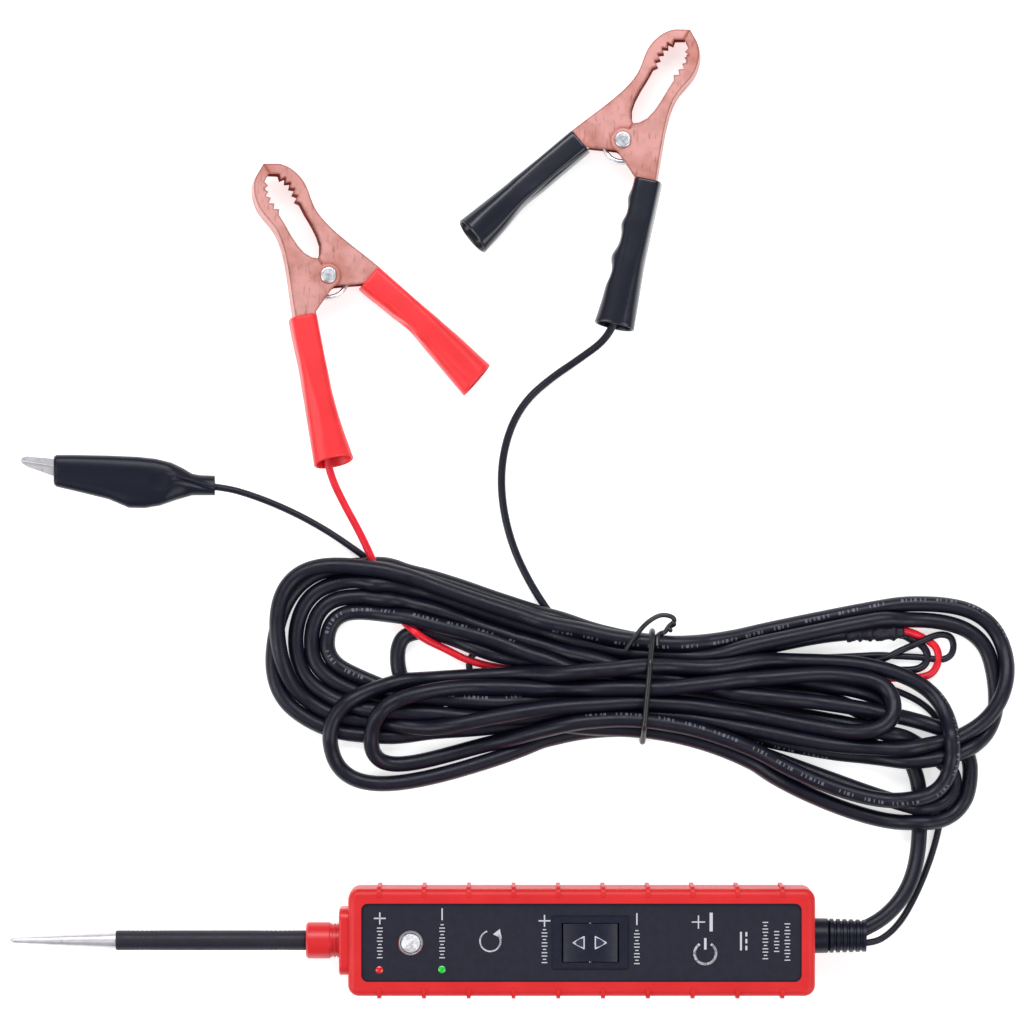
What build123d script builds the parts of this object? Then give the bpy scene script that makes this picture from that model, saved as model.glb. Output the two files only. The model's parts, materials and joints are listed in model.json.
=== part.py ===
from build123d import *
import os
from math import cos, pi, radians, sin, tan

# A circuit test light: a handheld tester with a probe tip, a rocker switch and a lamp, on a
# tied hank of power cord that splits to two battery clips, and an auxiliary lead with a crocodile
# clip. Millimetres, +Z up. The tester lies face up on the plane z = 0 with its probe pointing to -X,
# and the origin is under the middle of the tester's length.

# ---- driving dimensions -------------------------------------------------------------------------
BOOT_X = (-36.6, 154.6)            # rubber boot, along the tester
BOOT_HALF_WIDTH = 22.0
BOOT_TOP = 27.5
BOOT_WALL = 2.4
BOOT_FLOOR = 2.2
BOOT_CORNER = 4.5
BOOT_RIB_COUNT = 10
BOOT_RIB_FIRST_X = -23.9
BOOT_RIB_PITCH = 18.34
BOOT_RIB_WIDTH = 1.6
BOOT_RIB_PROUD = 1.0

WINDOW_X = (-31.2, 149.0)          # opening in the boot over the black face
WINDOW_HALF_WIDTH = 16.05
WINDOW_CORNER = 2.8

AXIS_Z = 13.75                     # height of the probe and of the strain relief
SHELL_WALL = 1.8
SHELL_TOP = 25.2
SHELL_SPLIT_Z = 13.4
FACE_TOP = 26.2

TIP_X = -176.2
ROD_BASE_RADIUS = 3.6
SLEEVE_X = (-132.4, -54.1)
SLEEVE_RADIUS = 4.1
ROD_RADIUS = 3.2
ROD_THREAD_RADIUS = 2.9

LAMP = (-11.0, -0.2)
LAMP_RADIUS = 5.15
LENS_RADIUS = 4.25
INDICATORS = {"red": (-23.8, -11.2), "green": (1.8, -11.0)}
INDICATOR_RADIUS = 1.5

SWITCH_X = 62.55
SWITCH_FRAME = (31.3, 21.8)
SWITCH_OPENING = (23.5, 16.2)
ROCKER_PIVOT_Z = 25.2
ROCKER_RADIUS = 11.4
ROCKER_WIDTH = 15.6
ROCKER_PIN_RADIUS = 0.8

RELIEF_X = (147.5, 176.0)
RELIEF_Y = 1.9
RELIEF_SPIGOT_RADIUS = 5.0

CORD_DIAMETER = 6.5                # jacketed two-core power cord
LEAD_DIAMETER = 3.2                # each core's lead to a battery clip
AUX_DIAMETER = 2.8                 # auxiliary lead to the crocodile clip

HANK_HEIGHT = 15.0
TIE_X = (85.7, 88.9)
TIE_Y = (82.6, 125.8)
TIE_THICKNESS = 1.0

SHEET = 1.2                        # copper-plated steel of the battery clips
CLIP_WIDTH = 14.0                  # across the outer jaw's two cheeks
RIVET_RADIUS = 2.4
CLIPS = {                          # roll: how far a clip lies over, held up by its lead, degrees
    "red": {"pivot": (-45.7, 273.0, 11.7), "turn": 30.0, "roll": 8.0, "wire_side": -1},
    "black": {"pivot": (76.6, 328.9, 9.7), "turn": -31.2, "roll": 5.0, "wire_side": 1},
}

CROC_MID_Z = 5.8
CROC_PIN = (-137.0, 191.2)
CROC_JAW_WIDTH = 7.0

FIT = 0.05                         # radial gap of a round part in its own hole

os.makedirs("parts", exist_ok=True)


# ---- helpers ------------------------------------------------------------------------------------
def save(name, *solids):
    """Write one node: a single piece, or a group of identical ones."""
    shape = solids[0] if len(solids) == 1 else Compound(children=list(solids))
    export_step(shape, f"parts/{name}.step")
    print(f"{name}: {len(shape.solids())} solid(s), {shape.volume:.1f} mm3")


def block(x, y, z):
    """A box over the ranges x, y and z."""
    middle = ((x[0] + x[1]) / 2, (y[0] + y[1]) / 2, (z[0] + z[1]) / 2)
    return Pos(*middle) * Box(x[1] - x[0], y[1] - y[0], z[1] - z[0])


def slab(x, y, z, corner):
    """A plate over the ranges x, y and z with rounded corners in plan."""
    outline = RectangleRounded(x[1] - x[0], y[1] - y[0], corner)
    return Pos((x[0] + x[1]) / 2, (y[0] + y[1]) / 2, z[0]) * extrude(outline, z[1] - z[0])


def post(x, y, z, radius):
    """An upright cylinder over the range z."""
    return Pos(x, y, (z[0] + z[1]) / 2) * Cylinder(radius, z[1] - z[0])


def bar_x(x, radius, y=0.0, z=AXIS_Z):
    """A cylinder along X over the range x."""
    return Pos((x[0] + x[1]) / 2, y, z) * Rot(0, 90, 0) * Cylinder(radius, x[1] - x[0])


def bar_y(y, radius, x, z):
    """A cylinder along Y over the range y."""
    return Pos(x, (y[0] + y[1]) / 2, z) * Rot(90, 0, 0) * Cylinder(radius, y[1] - y[0])


def turned_x(profile, y=0.0, z=AXIS_Z):
    """A piece turned about an axis along X from (x, radius) points; it starts and ends on the axis."""
    outline = Polyline(*[(x, radius, 0) for x, radius in profile], close=True)
    return Pos(0, y, z) * revolve(make_face(outline), Axis.X)


def bend_radii(points):
    """The largest tangent arc that the two runs at each corner leave room for."""
    radii = []
    for before, corner, after in zip(points, points[1:], points[2:]):
        run_in = Vector(*corner) - Vector(*before)
        run_out = Vector(*after) - Vector(*corner)
        turn = radians(run_in.get_angle(run_out))
        radii.append(0.45 * min(run_in.length, run_out.length) / tan(turn / 2))
    return radii


def tube_along(points, diameter):
    """A round bar along straight runs joined by tangent arcs."""
    path = FilletPolyline(*points, radius=bend_radii(points))
    section = Plane(path @ 0, z_dir=path % 0) * Circle(diameter / 2)
    return sweep(section, path=path), path.length


def save_cord(name, points, diameter):
    """Write a cord's tube, and print its radii and how its volume compares with its length."""
    tube, length = tube_along(points, diameter)
    share = tube.volume / (pi * diameter**2 / 4 * length)
    radii = ", ".join(f"{r:.0f}" for r in bend_radii(points))
    print(f"{name}: length {length:.1f} mm, volume share {share:.4f}, radii {radii}")
    save(name, tube)


def socket_for(points, diameter, at_start):
    """The hole that the end of a cord's tube sits in, as long as its end run."""
    first, second = (points[0], points[1]) if at_start else (points[-1], points[-2])
    inward = (Vector(*second) - Vector(*first)).normalized()
    mouth = Plane(Vector(*first), z_dir=inward)
    return extrude(mouth * Circle(diameter / 2 + FIT), (Vector(*second) - Vector(*first)).length)


# ---- cord routes --------------------------------------------------------------------------------
CORD_ROUTE = [
    (172.3, 3.4, 13.75), (179.6, 6.65, 13.75), (186.4, 11.8, 12.9), (191.9, 18.3, 11.0),
    (195.7, 25.9, 8.6), (197.9, 34.6, 6.2), (198.8, 43.6, 4.3), (199.0, 52.0, 3.5),
]
AUX_ROUTE = [
    (173.0, -1.3, 12.75), (179.5, -1.2, 12.5), (185.8, 2.2, 9.8), (191.2, 7.6, 6.3),
    (195.6, 14.6, 3.6), (199.5, 22.5, 2.0), (202.9, 31.0, 1.5), (205.6, 39.5, 1.45),
    (207.5, 48.0, 1.5), (208.3, 56.0, 1.7),
]
AUX_END_ROUTE = [
    (-21.0, 150.8, 1.5), (-31.3, 158.4, 1.45), (-45.2, 168.1, 1.5), (-59.5, 176.0, 2.0),
    (-74.8, 182.5, 3.6), (-89.8, 186.9, 5.5), (-105.8, 187.6, 5.8),
]
RED_ROUTE = [
    (-24.9, 150.5, 5.2), (-28.6, 160.0, 5.5), (-33.2, 169.4, 6.6), (-38.8, 179.6, 9.8),
    (-43.9, 190.4, 13.3), (-46.5, 202.3, 15.1), (-46.7, 214.8, 15.9), (-49.0, 227.0, 15.3),
]
BLACK_ROUTE = [
    (46.2, 134.0, 1.7), (38.0, 146.5, 1.65), (30.8, 161.5, 1.7), (26.5, 178.5, 1.65),
    (25.9, 195.0, 1.7), (29.4, 210.5, 1.65), (36.2, 222.5, 1.65), (46.5, 231.5, 1.9),
    (58.5, 239.5, 4.6), (69.5, 247.5, 8.9), (74.3, 258.3, 11.0), (76.5, 270.7, 12.3),
    (79.2, 282.9, 11.95),
]
SPLIT_SLEEVE = {"x": (179.5, 192.5), "y": 126.6, "z": 3.9, "radius": 3.9}


# ---- tester: boot and shells --------------------------------------------------------------------
def boot_block(grow, top):
    """The boot's outer shape, grown sideways, with its long edges rounded."""
    half = BOOT_HALF_WIDTH + grow
    shape = slab((BOOT_X[0] - grow, BOOT_X[1] + grow), (-half, half), (0, top), BOOT_CORNER + grow)
    shape = fillet(shape.faces().sort_by(Axis.Z)[-1].edges(), 2.8)
    return fillet(shape.faces().sort_by(Axis.Z)[0].edges(), 1.6)


SHELL_X = (BOOT_X[0] + BOOT_WALL, BOOT_X[1] - BOOT_WALL)
SHELL_HALF = BOOT_HALF_WIDTH - BOOT_WALL
BOSS_RADIUS = 3.3
BOARD_Z = (6.5, 8.1)
BOARD_X = (-25.2, 139.0)
SCREWS = [(x, y) for x in (-28.6, 146.4) for y in (-14.6, 14.6)]


def shell_slab(inset, z):
    """The outline of the two shells, drawn in by inset."""
    x = (SHELL_X[0] + inset, SHELL_X[1] - inset)
    half = SHELL_HALF - inset
    return slab(x, (-half, half), z, 3.0 - inset / 2)


def rubber_boot():
    boot = boot_block(0, BOOT_TOP)
    ribs = []
    for number in range(BOOT_RIB_COUNT):
        middle = BOOT_RIB_FIRST_X + number * BOOT_RIB_PITCH
        x = (middle - BOOT_RIB_WIDTH / 2, middle + BOOT_RIB_WIDTH / 2)
        ribs += [block(x, side, (2.0, BOOT_TOP + 1)) for side in ((18.8, 24), (-24, -18.8))]
    boot += boot_block(BOOT_RIB_PROUD, BOOT_TOP + 0.5) & (Part() + ribs)
    boot -= shell_slab(0, (BOOT_FLOOR, SHELL_TOP))
    window_y = (-WINDOW_HALF_WIDTH, WINDOW_HALF_WIDTH)
    boot -= slab(WINDOW_X, window_y, (SHELL_TOP - 1, BOOT_TOP + 1), WINDOW_CORNER)
    boot -= bar_x((BOOT_X[0] - 2, SHELL_X[0] + 1), 6 + FIT)
    boot -= bar_x((SHELL_X[1] - 1, BOOT_X[1] + 2), RELIEF_SPIGOT_RADIUS + FIT, RELIEF_Y)
    return boot


def face_openings(z):
    """The holes through the face for the lamp, the two indicators and the switch."""
    holes = post(*LAMP, z, LAMP_RADIUS + FIT)
    for place in INDICATORS.values():
        holes += post(*place, z, INDICATOR_RADIUS + FIT)
    length, width = SWITCH_FRAME
    frame_x = (SWITCH_X - length / 2 + 0.95, SWITCH_X + length / 2 - 0.95)
    return holes + slab(frame_x, (-width / 2 + 0.95, width / 2 - 0.95), z, 0.6)


def end_bores():
    """The bores for the nose bushing and the strain relief through the shells' end walls."""
    nose = bar_x((SHELL_X[0] - 1, SHELL_X[0] + SHELL_WALL + 1), 6 + FIT)
    tail_x = (SHELL_X[1] - SHELL_WALL - 1, SHELL_X[1] + 1)
    return nose + bar_x(tail_x, RELIEF_SPIGOT_RADIUS + FIT, RELIEF_Y)


def front_shell():
    shell = shell_slab(0, (SHELL_SPLIT_Z, SHELL_TOP))
    shell -= shell_slab(SHELL_WALL, (SHELL_SPLIT_Z - 1, SHELL_TOP - 2))
    for x, y in SCREWS:
        shell += post(x, y, (SHELL_SPLIT_Z, SHELL_TOP - 1), BOSS_RADIUS)
        shell -= post(x, y, (SHELL_SPLIT_Z - 1, 21.5), 1.2 + FIT)
    return shell - face_openings((SHELL_TOP - 3, SHELL_TOP + 1)) - end_bores()


def back_shell():
    shell = shell_slab(0, (BOOT_FLOOR, SHELL_SPLIT_Z))
    shell -= shell_slab(SHELL_WALL, (BOOT_FLOOR + 2, SHELL_SPLIT_Z + 1))
    for x in (8.0, 60.0, 112.0):
        shell += block((x - 1, x + 1), (-SHELL_HALF + 1, SHELL_HALF - 1), (BOOT_FLOOR + 1, BOARD_Z[0]))
    for x, y in SCREWS:
        shell += post(x, y, (BOOT_FLOOR + 1, SHELL_SPLIT_Z), BOSS_RADIUS)
        shell -= post(x, y, (BOOT_FLOOR - 1, 4.6), 2.6)
        shell -= post(x, y, (BOOT_FLOOR - 1, SHELL_SPLIT_Z + 1), 1.2 + FIT)
    return shell - end_bores()


def face_plate():
    inset = FIT
    x = (WINDOW_X[0] + inset, WINDOW_X[1] - inset)
    half = WINDOW_HALF_WIDTH - inset
    plate = slab(x, (-half, half), (SHELL_TOP, FACE_TOP), WINDOW_CORNER - inset)
    return plate - face_openings((SHELL_TOP - 1, FACE_TOP + 1))


def case_screws():
    screws = []
    for x, y in SCREWS:
        screw = post(x, y, (2.5, 4.6), 2.5) + post(x, y, (4.6, 20.5), 1.2)
        screw -= block((x - 1.6, x + 1.6), (y - 0.3, y + 0.3), (2.0, 3.3))
        screw -= block((x - 0.3, x + 0.3), (y - 1.6, y + 1.6), (2.0, 3.3))
        screws.append(screw)
    return screws


# ---- tester: probe ------------------------------------------------------------------------------
def probe_rod():
    profile = [
        (TIP_X, 0), (TIP_X, 0.3), (TIP_X + 1.6, 1.2), (SLEEVE_X[0], ROD_BASE_RADIUS),
        (SLEEVE_X[0], ROD_RADIUS), (-46.2, ROD_RADIUS), (-46.2, ROD_THREAD_RADIUS),
        (-32.0, ROD_THREAD_RADIUS), (-32.0, 0),
    ]
    return turned_x(profile)


def probe_sleeve():
    return bar_x(SLEEVE_X, SLEEVE_RADIUS) - bar_x(SLEEVE_X, ROD_RADIUS + FIT)


def nose_bushing():
    neck = [(-44.2, 7.0), (-43.4, 7.0), (-43.4, 6.5), (-42.9, 6.5), (-42.9, 7.0), (-41.9, 7.0)]
    neck += [(-41.9, 6.5), (-41.4, 6.5), (-41.4, 7.0), (-40.4, 7.0)]
    ring = [(SLEEVE_X[1], 0), (SLEEVE_X[1], 6.7), (-53.3, 7.5), (-44.6, 7.5), (-44.2, 7.3)]
    bushing = turned_x(ring + neck + [(-40.4, 6.0), (-28.0, 6.0), (-28.0, 0)])
    flange = extrude(RectangleRounded(22.0, 27.4, 4.5), 3.8)
    flange = Pos(-40.4, 0, AXIS_Z) * Rot(0, 90, 0) * fillet(
        flange.faces().sort_by(Axis.Z)[0].edges(), 0.8
    )
    bushing += flange
    bushing -= bar_x((SLEEVE_X[1] - 1, -45.5), ROD_RADIUS + FIT)
    return bushing - bar_x((-46.0, -27.0), 5.0 + FIT)


def probe_socket():
    socket = bar_x((-46.0, -22.0), 5.0)
    return socket - bar_x((-47.0, -31.5), ROD_THREAD_RADIUS + FIT)


# ---- tester: lamp, indicators, switch -----------------------------------------------------------
def turned_z(profile, x, y):
    """A piece turned about an upright axis from (radius, z) points, on and off the axis."""
    outline = Polyline(*[(radius, 0, z) for radius, z in profile], close=True)
    return Pos(x, y, 0) * revolve(make_face(outline), Axis.Z)


def domed_post(x, y, z, radius, dome):
    """An upright cylinder over the range z with a rounded top that rises dome above it."""
    sphere_radius = (radius**2 + dome**2) / (2 * dome)
    ball = Pos(x, y, z[1] + dome - sphere_radius) * Sphere(sphere_radius)
    return post(x, y, z, radius) + (ball & post(x, y, (z[1] - 0.01, z[1] + dome + 1), radius))


def lamp_bezel():
    inner = LENS_RADIUS + FIT
    profile = [(inner, 22.0), (LAMP_RADIUS, 22.0), (LAMP_RADIUS, 26.9), (LAMP_RADIUS - 0.3, 27.2),
               (inner + 0.15, 27.2), (inner, 27.0)]
    return turned_z(profile, *LAMP)


def lamp_lens():
    return domed_post(*LAMP, (22.0, 26.3), LENS_RADIUS, 1.3) - post(*LAMP, (21.0, 24.6), 3.0)


def led(x, y, radius, top):
    """A round LED on two legs."""
    body = domed_post(x, y, (top - 6.5, top - radius), radius, radius * 0.98)
    body += post(x, y, (top - 7.5, top - 6.5), radius + 0.4)
    for side in (-0.6, 0.6):
        body += block((x + side - 0.25, x + side + 0.25), (y - 0.25, y + 0.25), (BOARD_Z[1], top - 7.4))
    return body


def indicator_lens(place):
    return domed_post(*place, (23.6, FACE_TOP), INDICATOR_RADIUS, 0.35)


def switch_frame():
    length, width = SWITCH_FRAME
    inset = 1.0
    flange = slab(
        (SWITCH_X - length / 2, SWITCH_X + length / 2), (-width / 2, width / 2), (FACE_TOP, 27.1), 0.8
    )
    flange = chamfer(flange.faces().sort_by(Axis.Z)[-1].edges(), 0.35)
    body_x = (SWITCH_X - length / 2 + inset, SWITCH_X + length / 2 - inset)
    frame = flange + slab(body_x, (-width / 2 + inset, width / 2 - inset), (16.0, FACE_TOP), 0.5)
    opening_x = (SWITCH_X - SWITCH_OPENING[0] / 2, SWITCH_X + SWITCH_OPENING[0] / 2)
    opening_y = (-SWITCH_OPENING[1] / 2, SWITCH_OPENING[1] / 2)
    frame -= block(opening_x, opening_y, (18.0, 29.0))
    return frame - bar_y((-9.0, 9.0), ROCKER_PIN_RADIUS + 0.02, SWITCH_X, ROCKER_PIVOT_Z)


def switch_rocker():
    top = ThreePointArc((-12, 3.2), (0, 1.4), (12, 3.2))
    rest = Polyline((12, 3.2), (12, -5.0), (-12, -5.0), (-12, 3.2))
    profile = Plane.XZ * make_face([top, rest])
    saddle = Pos(SWITCH_X, 0, ROCKER_PIVOT_Z) * extrude(profile, ROCKER_WIDTH / 2, both=True)
    half = ROCKER_WIDTH / 2
    rocker = saddle & bar_y((-half, half), ROCKER_RADIUS, SWITCH_X, ROCKER_PIVOT_Z)
    return rocker - bar_y((-half - 1, half + 1), ROCKER_PIN_RADIUS + 0.06, SWITCH_X, ROCKER_PIVOT_Z)


def rocker_pin():
    return bar_y((-8.95, 8.95), ROCKER_PIN_RADIUS, SWITCH_X, ROCKER_PIVOT_Z)


def switch_terminals():
    return [block((x - 0.4, x + 0.4), (-2.4, 2.4), (BOARD_Z[1], 16.0)) for x in (54.0, 62.5, 71.0)]


# ---- tester: electronics ------------------------------------------------------------------------
def circuit_board():
    return slab(BOARD_X, (-15.0, 15.0), BOARD_Z, 1.5)


def buzzer():
    can = post(94.0, 5.0, (BOARD_Z[1], 17.1), 6.0)
    return can - post(94.0, 5.0, (16.0, 18.0), 1.0)


def circuit_breaker():
    case = slab((112.0, 132.0), (-13.0, -1.0), (BOARD_Z[1], 20.0), 0.8)
    return case + post(122.0, -7.0, (20.0, 21.4), 2.4)


def internal_wires():
    """The wires from the probe socket and from the strain relief down to the board."""
    ends = [(-22.0, 0.0, -17.0), (147.5, 5.5, 136.0), (147.5, 2.0, 136.0), (147.5, -1.5, 136.0)]
    wires = []
    for start_x, y, foot_x in ends:
        corner = (foot_x, y, AXIS_Z)
        path = FilletPolyline((start_x, y, AXIS_Z), corner, (foot_x, y, BOARD_Z[1]), radius=2.0)
        wires.append(sweep(Plane(path @ 0, z_dir=path % 0) * Circle(0.9), path=path))
    return wires


def strain_relief():
    profile = [(RELIEF_X[0], 0), (RELIEF_X[0], 7.2), (150.4, 7.2), (150.4, RELIEF_SPIGOT_RADIUS)]
    profile += [(BOOT_X[1], RELIEF_SPIGOT_RADIUS), (BOOT_X[1], 7.2), (160.2, 7.1)]
    rib_pitch, rib_width = 2.7, 1.7
    for number in range(6):
        start = 161.2 + number * rib_pitch
        radius = 7.0 - 0.08 * number
        profile += [(start - 0.35, 6.1), (start, radius), (start + rib_width - 0.35, radius)]
        profile += [(start + rib_width, 6.1)]
    profile[-1] = (RELIEF_X[1], 6.3)
    relief = turned_x(profile + [(RELIEF_X[1], 0)], RELIEF_Y)
    relief -= socket_for(CORD_ROUTE, CORD_DIAMETER, at_start=True)
    return relief - socket_for(AUX_ROUTE, AUX_DIAMETER, at_start=True)


# ---- the tied hank ------------------------------------------------------------------------------
HANK_OUTLINE = [
    (87.3, 126.2), (62.0, 128.8), (40.0, 140.5), (10.0, 151.0), (-22.0, 157.8), (-48.0, 156.0),
    (-64.5, 142.0), (-70.5, 122.0), (-66.0, 101.0), (-50.0, 88.0), (-46.5, 76.5), (-34.0, 65.5),
    (-10.0, 62.4), (20.0, 67.5), (55.0, 81.0), (87.3, 81.9), (112.0, 76.5), (145.0, 60.5),
    (172.0, 47.6), (196.0, 45.2), (214.0, 54.0), (223.5, 69.0), (223.0, 79.5), (233.5, 91.0),
    (237.6, 108.0), (233.0, 126.5), (219.0, 139.5), (199.0, 142.4), (165.0, 136.5), (120.0, 127.6),
]


def outline_radii(points):
    """Corner radii of a closed outline, a gentle arc on every corner."""
    around = points[-1:] + points + points[:1]
    return bend_radii([(x, y, 0) for x, y in around])


def tie_core():
    """What the twist tie closes round: the waist of the hank."""
    core = block((TIE_X[0] - 5, TIE_X[1] + 5), TIE_Y, (TIE_THICKNESS, HANK_HEIGHT - 0.2))
    return fillet(core.edges().filter_by(Axis.X), 2.5)


def power_cord_hank():
    outline = FilletPolyline(*HANK_OUTLINE, radius=outline_radii(HANK_OUTLINE), close=True)
    hank = extrude(make_face(outline), HANK_HEIGHT)
    hank = chamfer(hank.faces().sort_by(Axis.Z)[-1].edges(), 2.0)
    hank -= block(TIE_X, (60, 150), (-1, HANK_HEIGHT + 5)) - tie_core()
    sleeve, gap = SPLIT_SLEEVE, 0.3
    radius = sleeve["radius"] + gap
    slot_x = (sleeve["x"][0] - gap, sleeve["x"][1] + gap)
    slot_y = (sleeve["y"] - radius, sleeve["y"] + radius)
    hank -= block(slot_x, slot_y, (-1, sleeve["z"] + radius))
    hank -= socket_for(CORD_ROUTE, CORD_DIAMETER, at_start=False)
    hank -= socket_for(AUX_ROUTE, AUX_DIAMETER, at_start=False)
    hank -= socket_for(AUX_END_ROUTE, AUX_DIAMETER, at_start=True)
    hank -= socket_for(RED_ROUTE, LEAD_DIAMETER, at_start=True)
    return hank - socket_for(BLACK_ROUTE, LEAD_DIAMETER, at_start=True)


def twist_tie():
    outer_y = (TIE_Y[0] - TIE_THICKNESS, TIE_Y[1] + TIE_THICKNESS)
    ring = block(TIE_X, outer_y, (0, HANK_HEIGHT + 0.8))
    ring = fillet(ring.edges().filter_by(Axis.X), 3.4)
    return ring - tie_core()


def cord_split_sleeve():
    sleeve = SPLIT_SLEEVE
    return bar_x(sleeve["x"], sleeve["radius"], sleeve["y"], sleeve["z"])


# ---- battery clips ------------------------------------------------------------------------------
# Each clip is drawn flat about its rivet: +Y towards its tip and z = 0 at its mid-height. The wire's
# half, with the wider jaw, is on the wire_side of X.
HANDLE_START = (16.0, -8.7)
HANDLE_LEAN = 19.0                 # degrees between each handle and the clip's axis
HANDLE_LENGTH = 33.0
TOOTH_DEPTH = 1.7
TOOTH_ROOTS = [(5.3, 31.6), (6.0, 34.7), (6.4, 37.8), (6.2, 40.9), (5.4, 43.8), (3.6, 46.3)]


def along_handle(distance, offset):
    """A point of the +X handle: distance from its start, offset outwards from its middle line."""
    lean = radians(HANDLE_LEAN)
    x = HANDLE_START[0] + distance * sin(lean) + offset * cos(lean)
    return x, HANDLE_START[1] - distance * cos(lean) + offset * sin(lean)


def teeth():
    """A pointed tooth between each two roots along the mouth."""
    line = [TOOTH_ROOTS[0]]
    for root, following in zip(TOOTH_ROOTS, TOOTH_ROOTS[1:]):
        along = (Vector(*following) - Vector(*root)).normalized()
        tip = (Vector(*root) + Vector(*following)) / 2 + Vector(-along.Y, along.X) * TOOTH_DEPTH
        line += [(tip.X, tip.Y), following]
    return line


def cheek(toothed=True):
    """The outline of the +X half: jaw, ear round the rivet and handle."""
    outer = Spline(
        (5.1, 50.2), (8.1, 47.1), (10.2, 42.2), (10.8, 37.9), (10.2, 33.0), (9.3, 27.0),
        (9.6, 22.5), (11.8, 14.0), (15.8, 3.5), along_handle(0, 4.3),
    )
    inner = [along_handle(0, 4.3), along_handle(HANDLE_LENGTH, 3.9), along_handle(HANDLE_LENGTH, -3.9)]
    inner += [along_handle(0.4, -4.3), (5.5, -7.4), (0.15, -5.0)]
    if toothed:
        inner += [(0.15, 8.0), (2.2, 9.6), (4.0, 12.6), (4.9, 16.6), (5.2, 21.5), (5.1, 27.0)]
        inner += teeth() + [(0.15, 48.4)]
    inner += [(0.15, 53.0), (5.1, 50.2)]
    return make_face([outer, Polyline(*inner)])


def jaw(width, hole_radius):
    """One half: a channel of folded sheet, open towards the other half."""
    solid = extrude(cheek() + Circle(5.2), width / 2, both=True)
    inside = width / 2 - SHEET
    solid -= Pos(-1.25, -0.9, 0) * extrude(cheek(toothed=False), inside, both=True)
    solid -= Cylinder(6.0, 2 * inside)
    return solid - Cylinder(hole_radius, width + 2)


def sleeve_section(distance, width, depth, corner):
    """One cross-section of a handle's vinyl sleeve, where the sleeve flares towards its end."""
    lean = radians(HANDLE_LEAN)
    x, y = along_handle(distance, 0)
    plane = Plane((x, y, 0), x_dir=(cos(lean), sin(lean), 0), z_dir=(sin(lean), -cos(lean), 0))
    return plane * RectangleRounded(width, depth, corner)


def grip_sleeve(channel_width, length):
    """A vinyl sleeve over the +X handle: snug at its start, flared and open at its end."""
    wall = 1.0
    depth = channel_width + 0.5
    sizes = [(1.6, 9.3, depth, 0.6), (18.0, 9.3, depth, 0.8), (35.0, 10.2, depth, 1.4)]
    sizes.append((length, 14.4, 10.6, 4.9))
    outer, inner = [], []
    for distance, width, height, corner in sizes:
        outer.append(sleeve_section(distance, width + 2 * wall, height + 2 * wall, corner + wall))
        inner.append(sleeve_section(distance, width, height, corner))
    return loft(outer) - loft(inner)


def clip_spring():
    """A torsion spring round the rivet with a leg in each handle."""
    coil = Pos(0, -1.2, 0) * (Cylinder(8.4, 7.0) - Cylinder(6.6, 8.0))
    for side in (-1, 1):
        leg = Vector(side * 14.3, -25.0, 0)
        start = Plane((side * 7.7, -1.9, 0), z_dir=leg)
        coil += start * extrude(Circle(0.9), leg.length)
    return coil


def on_side(shape, side):
    """A piece drawn for the +X half, on the side that is asked for."""
    return mirror(shape, about=Plane.YZ) if side < 0 else shape


def save_clip(name, pivot, turn, roll, wire_side):
    """Write the seven pieces of one battery clip where it lies."""
    place = Pos(*pivot) * Rot(0, 0, turn) * Rot(0, -roll * wire_side, 0)
    inner_width = CLIP_WIDTH - 2 * SHEET - 0.6
    ferrule_x, ferrule_y = along_handle(HANDLE_LENGTH - 3.5, 0)
    lean = radians(HANDLE_LEAN)
    ferrule_plane = Plane((ferrule_x, ferrule_y, 0), z_dir=(sin(lean), -cos(lean), 0))
    ferrule = ferrule_plane * (
        extrude(Circle(2.4), 8.0) - extrude(Circle(LEAD_DIAMETER / 2 + 0.1), 9.0)
    )
    rivet = Cylinder(RIVET_RADIUS, CLIP_WIDTH)
    for side in (-1, 1):
        head = Pos(0, 0, side * (CLIP_WIDTH / 2 + 0.6)) * Cylinder(3.4, 1.2)
        rim = head.faces().sort_by(Axis.Z)[-1 if side > 0 else 0].edges()
        rivet += fillet(rim, 0.7)
    if name == "black":
        rivet -= Pos(0, 0, CLIP_WIDTH / 2 + 1.2) * Cylinder(1.4, 1.4)
    pieces = {
        "jaw_outer": on_side(jaw(CLIP_WIDTH, RIVET_RADIUS + FIT), wire_side),
        "jaw_inner": on_side(jaw(inner_width, RIVET_RADIUS + 0.08), -wire_side),
        "rivet": rivet,
        "spring": clip_spring(),
        "sleeve_outer": on_side(grip_sleeve(CLIP_WIDTH, 63.5), wire_side),
        "sleeve_inner": on_side(grip_sleeve(inner_width, 59.5), -wire_side),
        "ferrule": on_side(ferrule, wire_side),
    }
    for piece, shape in pieces.items():
        save(f"{name}_clip_{piece}", place * shape)


# ---- crocodile clip -----------------------------------------------------------------------------
CROC_BOOT = [
    (-158.3, 199.7), (-136.0, 199.5), (-116.5, 198.4), (-107.0, 195.6), (-101.0, 191.5),
    (-92.4, 191.3), (-92.0, 183.1), (-101.3, 183.1), (-109.0, 181.2), (-117.5, 178.0),
    (-127.5, 177.9), (-135.0, 181.2), (-158.3, 186.6),
]
CROC_BOOT_RADII = (0.8, 20, 12, 8, 6, 0.8, 0.8, 6, 12, 5, 5, 12, 0.8)


def flat_piece(points, z):
    """A plate with a plain outline over the range z."""
    return Pos(0, 0, z[0]) * extrude(make_face(Polyline(*points, close=True)), z[1] - z[0])


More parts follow.
